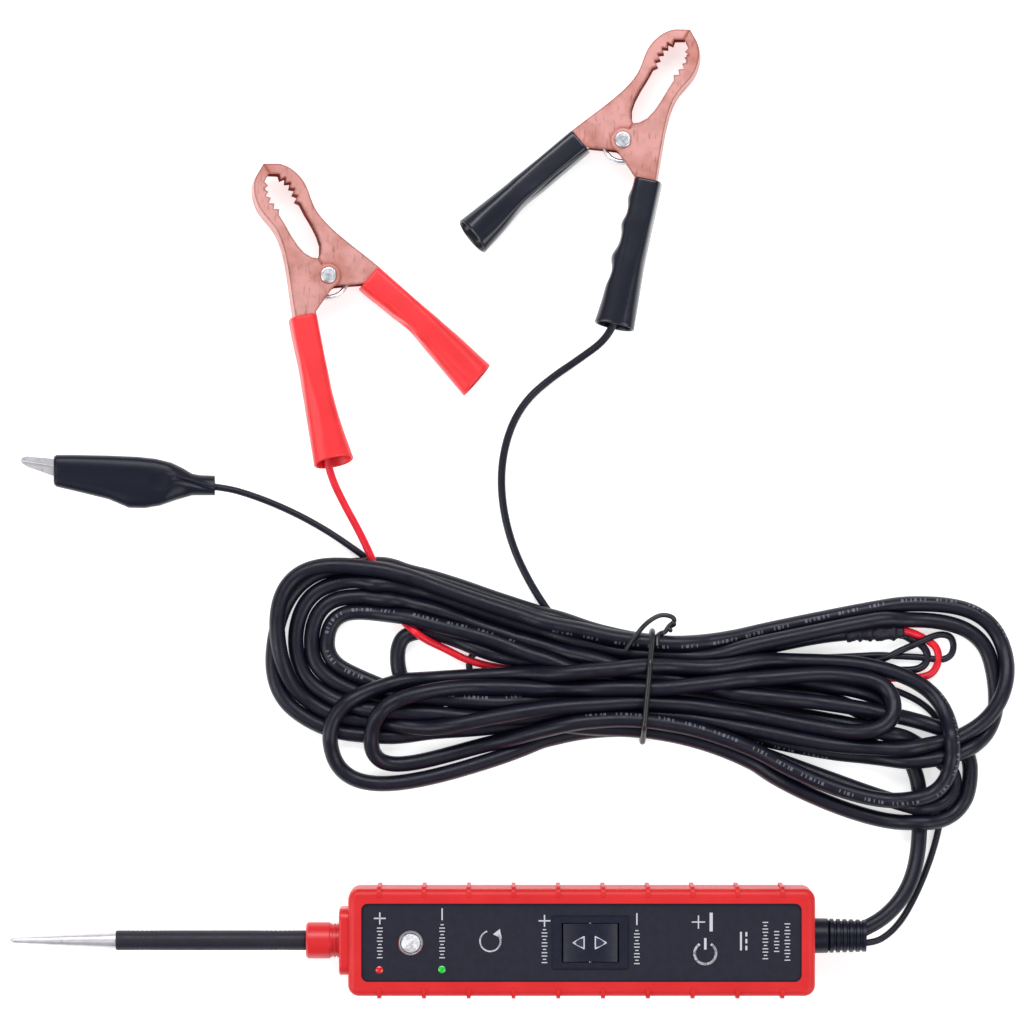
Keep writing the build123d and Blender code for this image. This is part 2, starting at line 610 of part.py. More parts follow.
def croc_boot():
    outline = make_face(FilletPolyline(*CROC_BOOT, radius=list(CROC_BOOT_RADII), close=True))
    boot = extrude(outline, 2 * CROC_MID_Z)
    boot = fillet(boot.edges().filter_by(GeomType.LINE).filter_by(Axis.Z, reverse=True), 0.9)
    room = [
        (-162.0, 198.6), (-136.0, 198.4), (-117.0, 197.1), (-108.5, 194.0), (-104.2, 191.4),
        (-104.2, 184.2), (-110.0, 182.5), (-118.0, 179.2), (-127.2, 179.1), (-134.5, 182.3),
        (-162.0, 188.8),
    ]
    boot -= flat_piece(room, (1.1, 2 * CROC_MID_Z - 1.1))
    return boot - bar_x((-105.0, -90.0), AUX_DIAMETER / 2 + 0.7, 187.3, CROC_MID_Z)


def croc_jaw(points, wall_shift, width, hole_radius):
    """One jaw of folded sheet, open towards the other jaw."""
    z = (CROC_MID_Z - width / 2, CROC_MID_Z + width / 2)
    solid = flat_piece(points, z)
    hollow = Pos(*wall_shift, 0) * flat_piece(points, (z[0] + 0.8, z[1] - 0.8))
    hole = post(*CROC_PIN, (z[0] - 1, z[1] + 1), hole_radius)
    return solid - hollow - hole


def croc_jaw_fixed():
    jaw_line = [
        (-172.1, 197.4), (-169.5, 197.0), (-158.0, 195.2), (-150.0, 193.5), (-143.0, 190.95),
        (-140.0, 188.4), (-134.5, 188.2), (-131.5, 190.5), (-118.0, 190.5), (-110.5, 186.2),
        (-105.2, 185.3), (-105.2, 189.9), (-107.0, 190.4), (-116.5, 195.4), (-134.0, 197.6),
        (-158.0, 198.1), (-169.6, 199.2), (-171.5, 198.6),
    ]
    solid = croc_jaw(jaw_line, (-0.5, -1.1), CROC_JAW_WIDTH, 1.25 + FIT)
    crimp = bar_x((-110.5, -104.8), 2.5, 187.6, CROC_MID_Z)
    return solid + crimp - bar_x((-111.0, -104.0), AUX_DIAMETER / 2 + 0.1, 187.6, CROC_MID_Z)


def croc_jaw_moving():
    jaw_line = [
        (-172.1, 197.25), (-169.5, 196.85), (-158.0, 195.05), (-150.0, 193.35), (-143.0, 190.8),
        (-139.8, 194.2), (-134.3, 194.2), (-131.0, 190.4), (-127.0, 186.5), (-118.2, 182.4),
        (-119.0, 180.6), (-127.0, 180.6), (-135.0, 184.4), (-143.0, 188.0), (-158.0, 190.9),
        (-169.0, 194.7), (-171.6, 196.2),
    ]
    return croc_jaw(jaw_line, (0.3, 1.1), CROC_JAW_WIDTH - 2.2, 1.25 + 0.08)


def croc_pin():
    shank = post(*CROC_PIN, (CROC_MID_Z - 3.9, CROC_MID_Z + 3.9), 1.25)
    for z in ((CROC_MID_Z - 4.2, CROC_MID_Z - 3.5), (CROC_MID_Z + 3.5, CROC_MID_Z + 4.2)):
        shank += post(*CROC_PIN, z, 2.2)
    return shank


def croc_spring():
    coil = post(*CROC_PIN, (CROC_MID_Z - 1.4, CROC_MID_Z + 1.4), 2.5)
    coil -= post(*CROC_PIN, (CROC_MID_Z - 3, CROC_MID_Z + 3), 1.8)
    for foot in ((-125.0, 193.2), (-126.5, 184.0)):
        leg = Vector(foot[0] - CROC_PIN[0], foot[1] - CROC_PIN[1], 0)
        side = leg.normalized() * 2.2
        start = Plane((CROC_PIN[0] + side.X, CROC_PIN[1] + side.Y, CROC_MID_Z), z_dir=leg)
        coil += start * extrude(Circle(0.4), leg.length - 2.2)
    return coil


# ---- writing the nodes --------------------------------------------------------------------------
save("rubber_boot", rubber_boot())
save("front_shell", front_shell())
save("back_shell", back_shell())
save("face_plate", face_plate())
save("case_screws", *case_screws())
save("probe_rod", probe_rod())
save("probe_sleeve", probe_sleeve())
save("nose_bushing", nose_bushing())
save("probe_socket", probe_socket())
save("lamp_bezel", lamp_bezel())
save("lamp_lens", lamp_lens())
save("lamp_led", led(*LAMP, 2.5, 24.3))
for colour, spot in INDICATORS.items():
    save(f"indicator_lens_{colour}", indicator_lens(spot))
save("indicator_leds", *[led(*spot, 1.5, 22.9) for spot in INDICATORS.values()])
save("switch_frame", switch_frame())
save("switch_rocker", switch_rocker())
save("rocker_pin", rocker_pin())
save("switch_terminals", *switch_terminals())
save("circuit_board", circuit_board())
save("buzzer", buzzer())
save("circuit_breaker", circuit_breaker())
save("internal_wires", *internal_wires())
save("strain_relief", strain_relief())
save_cord("power_cord_tube", CORD_ROUTE, CORD_DIAMETER)
save_cord("aux_lead_tube", AUX_ROUTE, AUX_DIAMETER)
save_cord("aux_lead_end_tube", AUX_END_ROUTE, AUX_DIAMETER)
save_cord("red_lead_tube", RED_ROUTE, LEAD_DIAMETER)
save_cord("black_lead_tube", BLACK_ROUTE, LEAD_DIAMETER)
save("power_cord_hank", power_cord_hank())
save("twist_tie", twist_tie())
save("cord_split_sleeve", cord_split_sleeve())
for clip, spec in CLIPS.items():
    save_clip(clip, spec["pivot"], spec["turn"], spec["roll"], spec["wire_side"])
save("croc_boot", croc_boot())
save("croc_jaw_fixed", croc_jaw_fixed())
save("croc_jaw_moving", croc_jaw_moving())
save("croc_pin", croc_pin())
save("croc_spring", croc_spring())
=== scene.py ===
"""A circuit test light on its tied hank of power cord, over its CAD frame. Metres, +Z up."""

import json
from math import cos, pi, radians, sin, tau

import bpy
import numpy as np
from mathutils import Matrix, Vector
from mathutils.bvhtree import BVHTree


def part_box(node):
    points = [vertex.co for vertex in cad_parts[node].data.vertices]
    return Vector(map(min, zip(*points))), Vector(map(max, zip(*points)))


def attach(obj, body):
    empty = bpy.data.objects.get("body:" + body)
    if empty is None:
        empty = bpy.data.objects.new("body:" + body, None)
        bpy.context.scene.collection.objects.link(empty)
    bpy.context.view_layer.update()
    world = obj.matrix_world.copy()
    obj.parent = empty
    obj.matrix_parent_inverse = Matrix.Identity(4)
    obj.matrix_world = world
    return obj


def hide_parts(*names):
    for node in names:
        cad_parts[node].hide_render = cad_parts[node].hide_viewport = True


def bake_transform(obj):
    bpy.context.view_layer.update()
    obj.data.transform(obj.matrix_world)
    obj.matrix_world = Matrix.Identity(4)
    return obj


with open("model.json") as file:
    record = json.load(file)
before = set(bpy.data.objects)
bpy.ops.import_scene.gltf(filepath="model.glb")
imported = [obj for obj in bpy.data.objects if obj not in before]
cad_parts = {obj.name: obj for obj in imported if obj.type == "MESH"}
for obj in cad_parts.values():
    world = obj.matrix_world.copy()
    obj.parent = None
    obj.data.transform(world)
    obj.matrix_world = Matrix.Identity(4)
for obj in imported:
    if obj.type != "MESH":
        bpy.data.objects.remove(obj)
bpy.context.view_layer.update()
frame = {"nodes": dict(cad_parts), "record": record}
MM = 0.001

# ---- camera and light ---------------------------------------------------------------------------
VIEW_MIDDLE = (0.0305, 0.1762)     # what the camera looks straight down at
VIEW_WIDTH = 0.4216
FOCAL_LENGTH = 200.0
SENSOR_WIDTH = 36.0
VIEW_LEVEL = 0.012                 # height at which the view is VIEW_WIDTH across


def make_camera():
    data = bpy.data.cameras.new("camera")
    data.lens, data.sensor_width = FOCAL_LENGTH, SENSOR_WIDTH
    camera = bpy.data.objects.new("camera", data)
    camera.location = (*VIEW_MIDDLE, VIEW_LEVEL + VIEW_WIDTH * FOCAL_LENGTH / SENSOR_WIDTH)
    bpy.context.collection.objects.link(camera)
    bpy.context.scene.camera = camera


def area_light(name, place, aim, size, power, colour=(1, 1, 1)):
    data = bpy.data.lights.new(name, "AREA")
    data.shape = "RECTANGLE"
    data.size, data.size_y = size
    data.energy, data.color = power, colour
    light = bpy.data.objects.new(name, data)
    light.location = place
    light.rotation_euler = (Vector(aim) - Vector(place)).to_track_quat("-Z", "Y").to_euler()
    bpy.context.collection.objects.link(light)


def make_studio():
    world = bpy.data.worlds.new("studio")
    world.use_nodes = True
    world.node_tree.nodes["Background"].inputs["Color"].default_value = (0.93, 0.96, 1.0, 1)
    world.node_tree.nodes["Background"].inputs["Strength"].default_value = 0.32
    bpy.context.scene.world = world
    aim = (0.03, 0.15, 0.0)
    area_light("sky_light", (0.0, 1.3, 1.5), aim, (2.2, 0.7), 28, (0.95, 0.97, 1.0))
    area_light("side_light", (-0.95, -0.25, 0.9), aim, (0.6, 1.2), 7)
    area_light("fill_light", (0.85, -0.55, 1.1), aim, (0.9, 0.9), 7)
    bpy.context.scene.view_settings.view_transform = "Standard"

    bpy.ops.mesh.primitive_plane_add(size=6, location=(0, 0, -0.0002))
    floor = bpy.context.object
    floor.name = "floor"
    floor.data.materials.append(surface("floor_white", (0.80, 0.80, 0.80), roughness=0.9, glow=0.62))


# ---- materials ----------------------------------------------------------------------------------
def surface(name, colour, roughness=0.5, metal=0.0, coat=0.0, specular=0.5, transmission=0.0, glow=0.0):
    """A plain Principled material, which the functions below add grain and stains to."""
    made = bpy.data.materials.new(name)
    made.use_nodes = True
    shader = made.node_tree.nodes["Principled BSDF"].inputs
    shader["Base Color"].default_value = (*colour, 1)
    shader["Roughness"].default_value = roughness
    shader["Metallic"].default_value = metal
    shader["Coat Weight"].default_value = coat
    shader["Coat Roughness"].default_value = 0.08
    shader["Specular IOR Level"].default_value = specular
    shader["Transmission Weight"].default_value = transmission
    shader["IOR"].default_value = 1.5
    if glow:
        shader["Emission Color"].default_value = (1, 1, 1, 1)
        shader["Emission Strength"].default_value = glow
    return made


def drive(made, output, name):
    """Let a node's output set one of the shader's sockets."""
    tree = made.node_tree
    tree.links.new(output, tree.nodes["Principled BSDF"].inputs[name])


def add_noise(made, scale, detail=2.0, stretch=(1, 1, 1)):
    """A noise texture over the object's own coordinates, as a node whose Fac is used."""
    tree = made.node_tree
    place = tree.nodes.new("ShaderNodeTexCoord")
    mapping = tree.nodes.new("ShaderNodeMapping")
    mapping.inputs["Scale"].default_value = stretch
    noise = tree.nodes.new("ShaderNodeTexNoise")
    noise.inputs["Scale"].default_value = scale
    noise.inputs["Detail"].default_value = detail
    tree.links.new(place.outputs["Object"], mapping.inputs["Vector"])
    tree.links.new(mapping.outputs["Vector"], noise.inputs["Vector"])
    return noise


def add_ramp(made, source, low, high, start=0.35, end=0.65):
    """A colour ramp between low and high, driven by a noise's Fac."""
    tree = made.node_tree
    ramp = tree.nodes.new("ShaderNodeValToRGB")
    ramp.color_ramp.elements[0].position = start
    ramp.color_ramp.elements[1].position = end
    ramp.color_ramp.elements[0].color = (*low, 1)
    ramp.color_ramp.elements[1].color = (*high, 1)
    tree.links.new(source.outputs["Fac"], ramp.inputs["Fac"])
    return ramp


def mottle(made, low, high, scale, detail=3.0):
    """Base colour that varies between low and high."""
    ramp = add_ramp(made, add_noise(made, scale, detail), low, high)
    drive(made, ramp.outputs["Color"], "Base Color")


def blend_colours(made, first, second, share, way="MIX"):
    """The socket of a colour mixed from two; each of them, and the share, is a socket or a value."""
    tree = made.node_tree
    mix = tree.nodes.new("ShaderNodeMix")
    mix.data_type = "RGBA"
    mix.blend_type = way
    sockets = (mix.inputs["Factor"], mix.inputs[6], mix.inputs[7])
    for socket, value in zip(sockets, (share, first, second)):
        if isinstance(value, bpy.types.NodeSocket):
            tree.links.new(value, socket)
        else:
            socket.default_value = value if isinstance(value, float) else (*value, 1)
    return mix.outputs[2]


def share_between(made, source, start, end, most=1.0):
    """The socket that goes from 0 to most while a source socket goes from start to end."""
    node = made.node_tree.nodes.new("ShaderNodeMapRange")
    node.inputs["From Min"].default_value = start
    node.inputs["From Max"].default_value = end
    node.inputs["To Max"].default_value = most
    made.node_tree.links.new(source, node.inputs["Value"])
    return node.outputs["Result"]


def vary_roughness(made, low, high, scale, detail=3.0):
    ramp = add_ramp(made, add_noise(made, scale, detail), (low,) * 3, (high,) * 3, 0.3, 0.7)
    drive(made, ramp.outputs["Color"], "Roughness")


def bump(made, scale, height, detail=2.0):
    """Fine relief, height in metres."""
    tree = made.node_tree
    noise = add_noise(made, scale, detail)
    node = tree.nodes.new("ShaderNodeBump")
    node.inputs["Distance"].default_value = height
    node.inputs["Strength"].default_value = 1.0
    tree.links.new(noise.outputs["Fac"], node.inputs["Height"])
    drive(made, node.outputs["Normal"], "Normal")


def red_rubber():
    made = surface("red_rubber", (0.67, 0.012, 0.014), roughness=0.44, specular=0.4)
    mottle(made, (0.64, 0.010, 0.012), (0.70, 0.015, 0.017), 60)
    bump(made, 2600, 0.00002)
    return made


def red_plastic():
    made = surface("red_plastic", (0.66, 0.012, 0.016), roughness=0.36, coat=0.1)
    bump(made, 1800, 0.00001)
    return made


def moulded_black(name, shade, roughness, grain):
    made = surface(name, shade, roughness=roughness, specular=0.3)
    mottle(made, tuple(0.85 * c for c in shade), tuple(1.15 * c for c in shade), 400)
    bump(made, 4200, grain)
    return made


def glossy_vinyl(name, shade, roughness, coat):
    made = surface(name, shade, roughness=roughness, coat=coat, specular=0.4)
    mottle(made, tuple(0.92 * c for c in shade), tuple(min(1, 1.06 * c) for c in shade), 90)
    bump(made, 140, 0.00016, detail=1.5)
    return made


def cord_jacket(name, shade, roughness):
    made = surface(name, shade, roughness=roughness, specular=0.35)
    mottle(made, tuple(0.9 * c for c in shade), tuple(min(1, 1.1 * c) for c in shade), 120)
    vary_roughness(made, roughness - 0.06, roughness + 0.08, 260)
    bump(made, 900, 0.00003)
    return made


def copper_plate():
    """Thin copper over steel: stained and scratched, brown along its edges, and painted deep red in its
    hollows for the light that its walls reflect onto each other.
    """
    made = surface("copper", (0.62, 0.30, 0.27), roughness=0.42, metal=0.75)
    tree = made.node_tree
    blotches = add_noise(made, 70, 7.0)
    stains = add_ramp(made, blotches, (0.46, 0.175, 0.135), (0.66, 0.32, 0.29), 0.30, 0.54)
    streaks = add_noise(made, 900, 7.0, (1, 0.2, 1))
    scratches = add_ramp(made, streaks, (0.55, 0.44, 0.40), (1, 1, 1), 0.30, 0.42)
    worn = blend_colours(made, stains.outputs["Color"], scratches.outputs["Color"], 0.6, "MULTIPLY")
    rounded = tree.nodes.new("ShaderNodeBevel")
    rounded.inputs["Radius"].default_value = 0.0013
    facing = tree.nodes.new("ShaderNodeVectorMath")
    facing.operation = "DOT_PRODUCT"
    plain = tree.nodes.new("ShaderNodeNewGeometry")
    tree.links.new(rounded.outputs["Normal"], facing.inputs[0])
    tree.links.new(plain.outputs["Normal"], facing.inputs[1])
    edge = share_between(made, facing.outputs["Value"], 0.995, 0.94, 0.9)
    edged = blend_colours(made, worn, (0.20, 0.065, 0.04), edge)
    # Painted light: ambient occlusion turns the hollows deep orange-red, in place of the light that the
    # copper walls bounce onto each other.
    painted_bounce_ao = tree.nodes.new("ShaderNodeAmbientOcclusion")
    painted_bounce_ao.inputs["Distance"].default_value = 0.009
    painted_bounce_share = share_between(made, painted_bounce_ao.outputs["AO"], 0.85, 0.25)
    with_painted_bounce = blend_colours(made, edged, (0.62, 0.09, 0.035), painted_bounce_share)
    drive(made, with_painted_bounce, "Base Color")
    vary_roughness(made, 0.34, 0.52, 320, detail=5.0)
    bump(made, 1500, 0.00003, detail=4.0)
    return made


def faceted_lens():
    """Clear plastic moulded in small facets, which look white and mottled, with a dark edge."""
    made = surface("clear_lens", (0.93, 0.95, 0.97), roughness=0.16, transmission=0.2, coat=0.6)
    tree = made.node_tree
    facets = add_ramp(made, add_noise(made, 620, 2.0), (0.66, 0.64, 0.68), (1.0, 0.98, 0.99), 0.42, 0.58)
    low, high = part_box("lamp_lens")
    radius = (high.x - low.x) / 2
    place = tree.nodes.new("ShaderNodeTexCoord")
    level = tree.nodes.new("ShaderNodeVectorMath")
    level.operation = "MULTIPLY"
    level.inputs[1].default_value = (1, 1, 0)
    away = tree.nodes.new("ShaderNodeVectorMath")
    away.operation = "DISTANCE"
    away.inputs[1].default_value = ((low.x + high.x) / 2, (low.y + high.y) / 2, 0)
    tree.links.new(place.outputs["Object"], level.inputs[0])
    tree.links.new(level.outputs["Vector"], away.inputs[0])
    edge = share_between(made, away.outputs["Value"], 0.87 * radius, 0.94 * radius)
    colour = blend_colours(made, facets.outputs["Color"], (0.06, 0.06, 0.075), edge)
    drive(made, colour, "Base Color")
    bump(made, 520, 0.0006, detail=1.0)
    return made


def worn_metal(name, shade, roughness, wear, metal=1.0):
    made = surface(name, shade, roughness=roughness, metal=metal)
    mottle(made, tuple(wear * c for c in shade), shade, 240, detail=5.0)
    vary_roughness(made, max(0.03, roughness - 0.07), roughness + 0.1, 500, detail=4.0)
    return made


def make_materials():
    return {
        "red_rubber": red_rubber(),
        "red_plastic": red_plastic(),
        "black_shell": moulded_black("black_shell", (0.012, 0.012, 0.014), 0.5, 0.00001),
        "face_black": moulded_black("face_black", (0.011, 0.011, 0.024), 0.5, 0.000012),
        "black_gloss": moulded_black("black_gloss", (0.012, 0.013, 0.027), 0.30, 0.000003),
        "steel": worn_metal("steel", (0.80, 0.81, 0.84), 0.30, 0.85),
        "nickel": worn_metal("nickel", (0.74, 0.70, 0.74), 0.34, 0.86, metal=0.75),
        "chrome_ring": worn_metal("chrome_ring", (0.88, 0.89, 0.91), 0.08, 0.9),
        "brass": worn_metal("brass", (0.78, 0.58, 0.28), 0.25, 0.8),
        "shrink_black": cord_jacket("shrink_black", (0.012, 0.010, 0.020), 0.48),
        "clear_lens": faceted_lens(),
        "red_lens": surface("red_lens", (0.95, 0.01, 0.01), roughness=0.15, transmission=0.3, coat=0.4),
        "green_lens": surface("green_lens", (0.02, 0.75, 0.06), roughness=0.15, transmission=0.3, coat=0.4),
        "led_epoxy": surface("led_epoxy", (0.88, 0.90, 0.92), roughness=0.2, coat=0.3),
        "board_green": moulded_black("board_green", (0.02, 0.16, 0.06), 0.4, 0.00001),
        "copper": copper_plate(),
        "red_vinyl": glossy_vinyl("red_vinyl", (0.88, 0.030, 0.036), 0.40, 0.12),
        "black_vinyl": glossy_vinyl("black_vinyl", (0.003, 0.004, 0.014), 0.32, 0.35),
        "cord_black": cord_jacket("cord_black", (0.004, 0.004, 0.013), 0.38),
        "wire_red": cord_jacket("wire_red", (0.78, 0.012, 0.03), 0.32),
        "black_rubber": moulded_black("black_rubber", (0.003, 0.004, 0.014), 0.36, 0.00002),
        "tie_black": surface("tie_black", (0.010, 0.010, 0.014), roughness=0.35, coat=0.2),
        "print_white": surface("print_white", (0.55, 0.56, 0.60), roughness=0.6),
        "print_blue": surface("print_blue", (0.012, 0.016, 0.05), roughness=0.4),
        "cord_print": surface("cord_print", (0.11, 0.11, 0.14), roughness=0.5),
    }


def paint_cad_nodes():
    slots = {part["node"]: part["material_slot"] for part in frame["record"]["subparts"]}
    for node, obj in frame["nodes"].items():
        obj.data.materials.clear()
        obj.data.materials.append(paint[slots[node]])


def finish_piece(obj, slot, body="root", replaces=()):
    """Material, body and stand-in of a piece made here."""
    obj.data.materials.clear()
    obj.data.materials.append(paint[slot])
    if replaces:
        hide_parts(*replaces)
    if body:
        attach(obj, body)
    return obj


# ---- curves and meshes --------------------------------------------------------------------------
LONG_CORD = 200                    # control points, above which each span gets fewer divisions


def curve_through(name, points, radius, cyclic=False):
    """A round cord whose NURBS spline has these control points."""
    data = bpy.data.curves.new(name, "CURVE")
    data.dimensions = "3D"
    data.bevel_depth = radius
    data.bevel_resolution = 6
    data.resolution_u = 4 if len(points) > LONG_CORD else 12
    data.use_fill_caps = True
    spline = data.splines.new("NURBS")
    spline.points.add(len(points) - 1)
    for point, place in zip(spline.points, points):
        point.co = (*place, 1.0)
    spline.order_u = 3
    spline.use_cyclic_u = cyclic
    spline.use_endpoint_u = not cyclic
    obj = bpy.data.objects.new(name, data)
    bpy.context.collection.objects.link(obj)
    return obj


def line_of(obj):
    """Points along a curve's centreline, read from its NURBS spline."""
    bare = obj.data.copy()
    bare.bevel_depth = 0
    carrier = bpy.data.objects.new("line", bare)
    bpy.context.collection.objects.link(carrier)
    bpy.context.view_layer.update()
    mesh = bpy.data.meshes.new_from_object(carrier.evaluated_get(bpy.context.evaluated_depsgraph_get()))
    points = np.array([v.co for v in mesh.vertices])
    bpy.data.objects.remove(carrier)
    return points


def mesh_piece(name, vertices, faces, smooth=True):
    data = bpy.data.meshes.new(name)
    data.from_pydata([tuple(v) for v in vertices], [], faces)
    data.validate()
    data.update()
    if smooth:
        data.shade_smooth()
    obj = bpy.data.objects.new(name, data)
    bpy.context.collection.objects.link(obj)
    return obj


def skin(name, rings, close_start=True):
    """A mesh over rings of points, each ring with the same number of points."""
    count = len(rings[0])
    vertices = [v for ring in rings for v in ring]
    faces = []
    for row in range(len(rings) - 1):
        for k in range(count):
            a, b = row * count + k, row * count + (k + 1) % count
            faces.append((a, b, b + count, a + count))
    if close_start:
        faces.append(tuple(reversed(range(count))))
    faces.append(tuple(range((len(rings) - 1) * count, len(rings) * count)))
    return mesh_piece(name, vertices, faces)


def sides_along(points):
    """Two unit vectors across a line at each of its points, which twist as little as they can."""
    ways = np.gradient(points, axis=0)
    ways /= np.linalg.norm(ways, axis=1)[:, None]
    first = np.cross(ways[0], (0.3, 0.2, 1.0))
    across = []
    for way in ways:
        first = first - way * first.dot(way)
        first /= np.linalg.norm(first)
        across.append((first, np.cross(way, first)))
    return across


def tube(name, points, radius, sides=12):
    """A mesh tube along points; radius is a number or a function of the share of its length."""
    points = np.array(points, float)
    rings = []
    for k, (u, v) in enumerate(sides_along(points)):
        size = radius(k / (len(points) - 1)) if callable(radius) else radius
        turns = [tau * s / sides for s in range(sides)]
        rings.append([points[k] + size * (cos(a) * u + sin(a) * v) for a in turns])
    return skin(name, rings)


def smooth_line(points, count):
    """count points on the quadratic curve that has these control points."""
    points = np.array(points, float)
    middles = [points[0], *((points[1:-2] + points[2:-1]) / 2), points[-1]]
    line = []
    per_span = max(2, count // (len(middles) - 1))
    for start, corner, end in zip(middles, points[1:], middles[1:]):
        for t in np.arange(per_span) / per_span:
            line.append((1 - t) ** 2 * start + 2 * t * (1 - t) * corner + t * t * end)
    line.append(points[-1])
    return np.array(line)


# ---- the cords' routes outside the hank ---------------------------------------------------------
CORD_DIAMETER = 0.0065
LEAD_DIAMETER = 0.0032
AUX_DIAMETER = 0.0028
CORD_ROUTE = [
    (0.1723, 0.0034, 0.01375), (0.1796, 0.00665, 0.01375), (0.1864, 0.0118, 0.0129),
    (0.1919, 0.0183, 0.0110), (0.1957, 0.0259, 0.0086), (0.1979, 0.0346, 0.0062),
    (0.1988, 0.0436, 0.0043), (0.1990, 0.0520, 0.0035),
]
AUX_ROUTE = [
    (0.1730, -0.0013, 0.01275), (0.1795, -0.0012, 0.0125), (0.1858, 0.0022, 0.0098),
    (0.1912, 0.0076, 0.0063), (0.1956, 0.0146, 0.0036), (0.1995, 0.0225, 0.0020),
    (0.2029, 0.0310, 0.0015), (0.2056, 0.0395, 0.00145), (0.2075, 0.0480, 0.0015),
    (0.2083, 0.0560, 0.0017),
]
AUX_END_ROUTE = [
    (-0.0210, 0.1508, 0.0015), (-0.0313, 0.1584, 0.00145), (-0.0452, 0.1681, 0.0015),
    (-0.0595, 0.1760, 0.0020), (-0.0748, 0.1825, 0.0036), (-0.0898, 0.1869, 0.0055),
    (-0.1058, 0.1876, 0.0058),
]
RED_ROUTE = [
    (-0.0249, 0.1505, 0.0052), (-0.0286, 0.1600, 0.0055), (-0.0332, 0.1694, 0.0066),
    (-0.0388, 0.1796, 0.0098), (-0.0439, 0.1904, 0.0133), (-0.0465, 0.2023, 0.0151),
    (-0.0467, 0.2148, 0.0159), (-0.0490, 0.2270, 0.0153),
]
BLACK_ROUTE = [
    (0.0462, 0.1340, 0.0017), (0.0380, 0.1465, 0.00165), (0.0308, 0.1615, 0.0017),
    (0.0265, 0.1785, 0.00165), (0.0259, 0.1950, 0.0017), (0.0294, 0.2105, 0.00165),
    (0.0362, 0.2225, 0.00165), (0.0465, 0.2315, 0.0019), (0.0585, 0.2395, 0.0046),
    (0.0695, 0.2475, 0.0089), (0.0743, 0.2583, 0.0110), (0.0765, 0.2707, 0.0123),
    (0.0792, 0.2829, 0.01195),
]
SPLIT_END, SPLIT_Y, SPLIT_Z = 192.5, 126.6, 3.9    # where the two cores leave their sleeve, in mm

# ---- the hank -----------------------------------------------------------------------------------
# The cord goes to and fro through the tied waist and turns back in a fold at each side. All sizes in
# this section are millimetres until settle() has laid the strands on each other.
WAIST_X = 87.3
STRAND_STEP = 4.5
# Each crossing of the waist: y, slope in degrees, how straight it runs on to the left and to the
# right of the waist, and the layer it lies in.
CROSSINGS = [
    (107.9, 0, 60, 75, 0), (108.7, 0, 70, 60, 1), (96.3, -7, 45, 50, 2), (103.7, -12, 60, 60, 2),
    (87.3, -8, 38, 54, 4), (112.4, 3, 95, 95, 10), (90.6, -8, 50, 42, 10), (104.2, 2, 85, 60, 11),
    (96.7, -2, 70, 45, 8), (123.1, -2, 60, 60, 8), (93.9, 0, 60, 40, 3), (117.7, -2, 60, 60, 9),
    (93.5, -2, 60, 40, 3), (107.9, -8, 60, 70, 3), (85.6, -15, 45, 46, 7), (121.0, -10, 80, 45, 3),
]
# Each fold, left and right by turns: x, y, how round it is before and after its tip, and the layer.
FOLDS = [
    (-17.3, 116.1, 40, 28, 0), (183.6, 93.5, 12, 22, 1), (-47.3, 119.4, 26, 42, 3),
    (213.7, 65.5, 14, 30, 2), (-44.1, 83.2, 48, 24, 10), (211.6, 79.0, 34, 54, 10),
    (-27.6, 81.5, 28, 26, 11), (187.3, 95.9, 22, 24, 8), (-66.7, 126.8, 64, 62, 6),
    (233.4, 112.0, 52, 60, 6), (-58.0, 122.7, 42, 58, 7), (231.4, 102.9, 55, 56, 5),
    (-52.7, 121.5, 35, 50, 5), (219.9, 71.6, 22, 58, 1), (-67.1, 116.1, 50, 70, 4),
]
# The thin leads' ways through the hank: x, y, heading in degrees, how straight there, and the layer.
RED_WAY = [
    (192.3, 126.8, -15, 6, 2.4), (207.5, 116.1, -95, 6, 1.2), (196.4, 107.5, 180, 10, 0.2),
    (86.5, 110.3, 180, 40, 0.2), (7.0, 118.2, 150, 18, 0.2), (-23.4, 146.0, 110, 16, 0.6),
]
BLACK_WAY = [
    (192.3, 126.0, -40, 5, 2.0), (202.1, 118.6, -90, 4, 1.0), (192.3, 110.7, 180, 8, 0.1),
    (86.5, 102.9, 180, 50, 0.1), (60.5, 121.5, 140, 14, 0.1), (49.0, 130.5, 128, 6, 0.1),
]
AUX_WAY = [
    (208.3, 60.0, 92, 20, 0.0), (188.1, 102.9, 160, 30, 0.0), (86.5, 98.8, 180, 50, 0.0),
    (13.2, 112.0, 100, 14, 0.0), (86.5, 117.3, 0, 40, 0.0), (185.3, 116.9, 25, 18, 2.2),
    (212.9, 121.0, -90, 9, 3.2), (185.3, 116.5, 180, 18, 2.0), (86.5, 114.5, 180, 60, 0.0),
    (-12.2, 143.9, 138, 25, 0.0),
]
HANK_START, HANK_END = (199.0, 56.0), (179.0, 126.9)
LAYER_HEIGHT = 7.0                 # between layers, before the strands settle
STRAND_GAP = 0.15                  # what touching strands are pushed apart to
WAIST_REACH = 45.0                 # how far from the tie the strands still crowd together
WAIST_Y, WAIST_LEAN = 104.2, 0.11  # its middle line at the tie, and how that falls along X
WAIST_HALF, WAIST_FLARE = 21.7, 0.0045             # half its width, and how that grows with distance


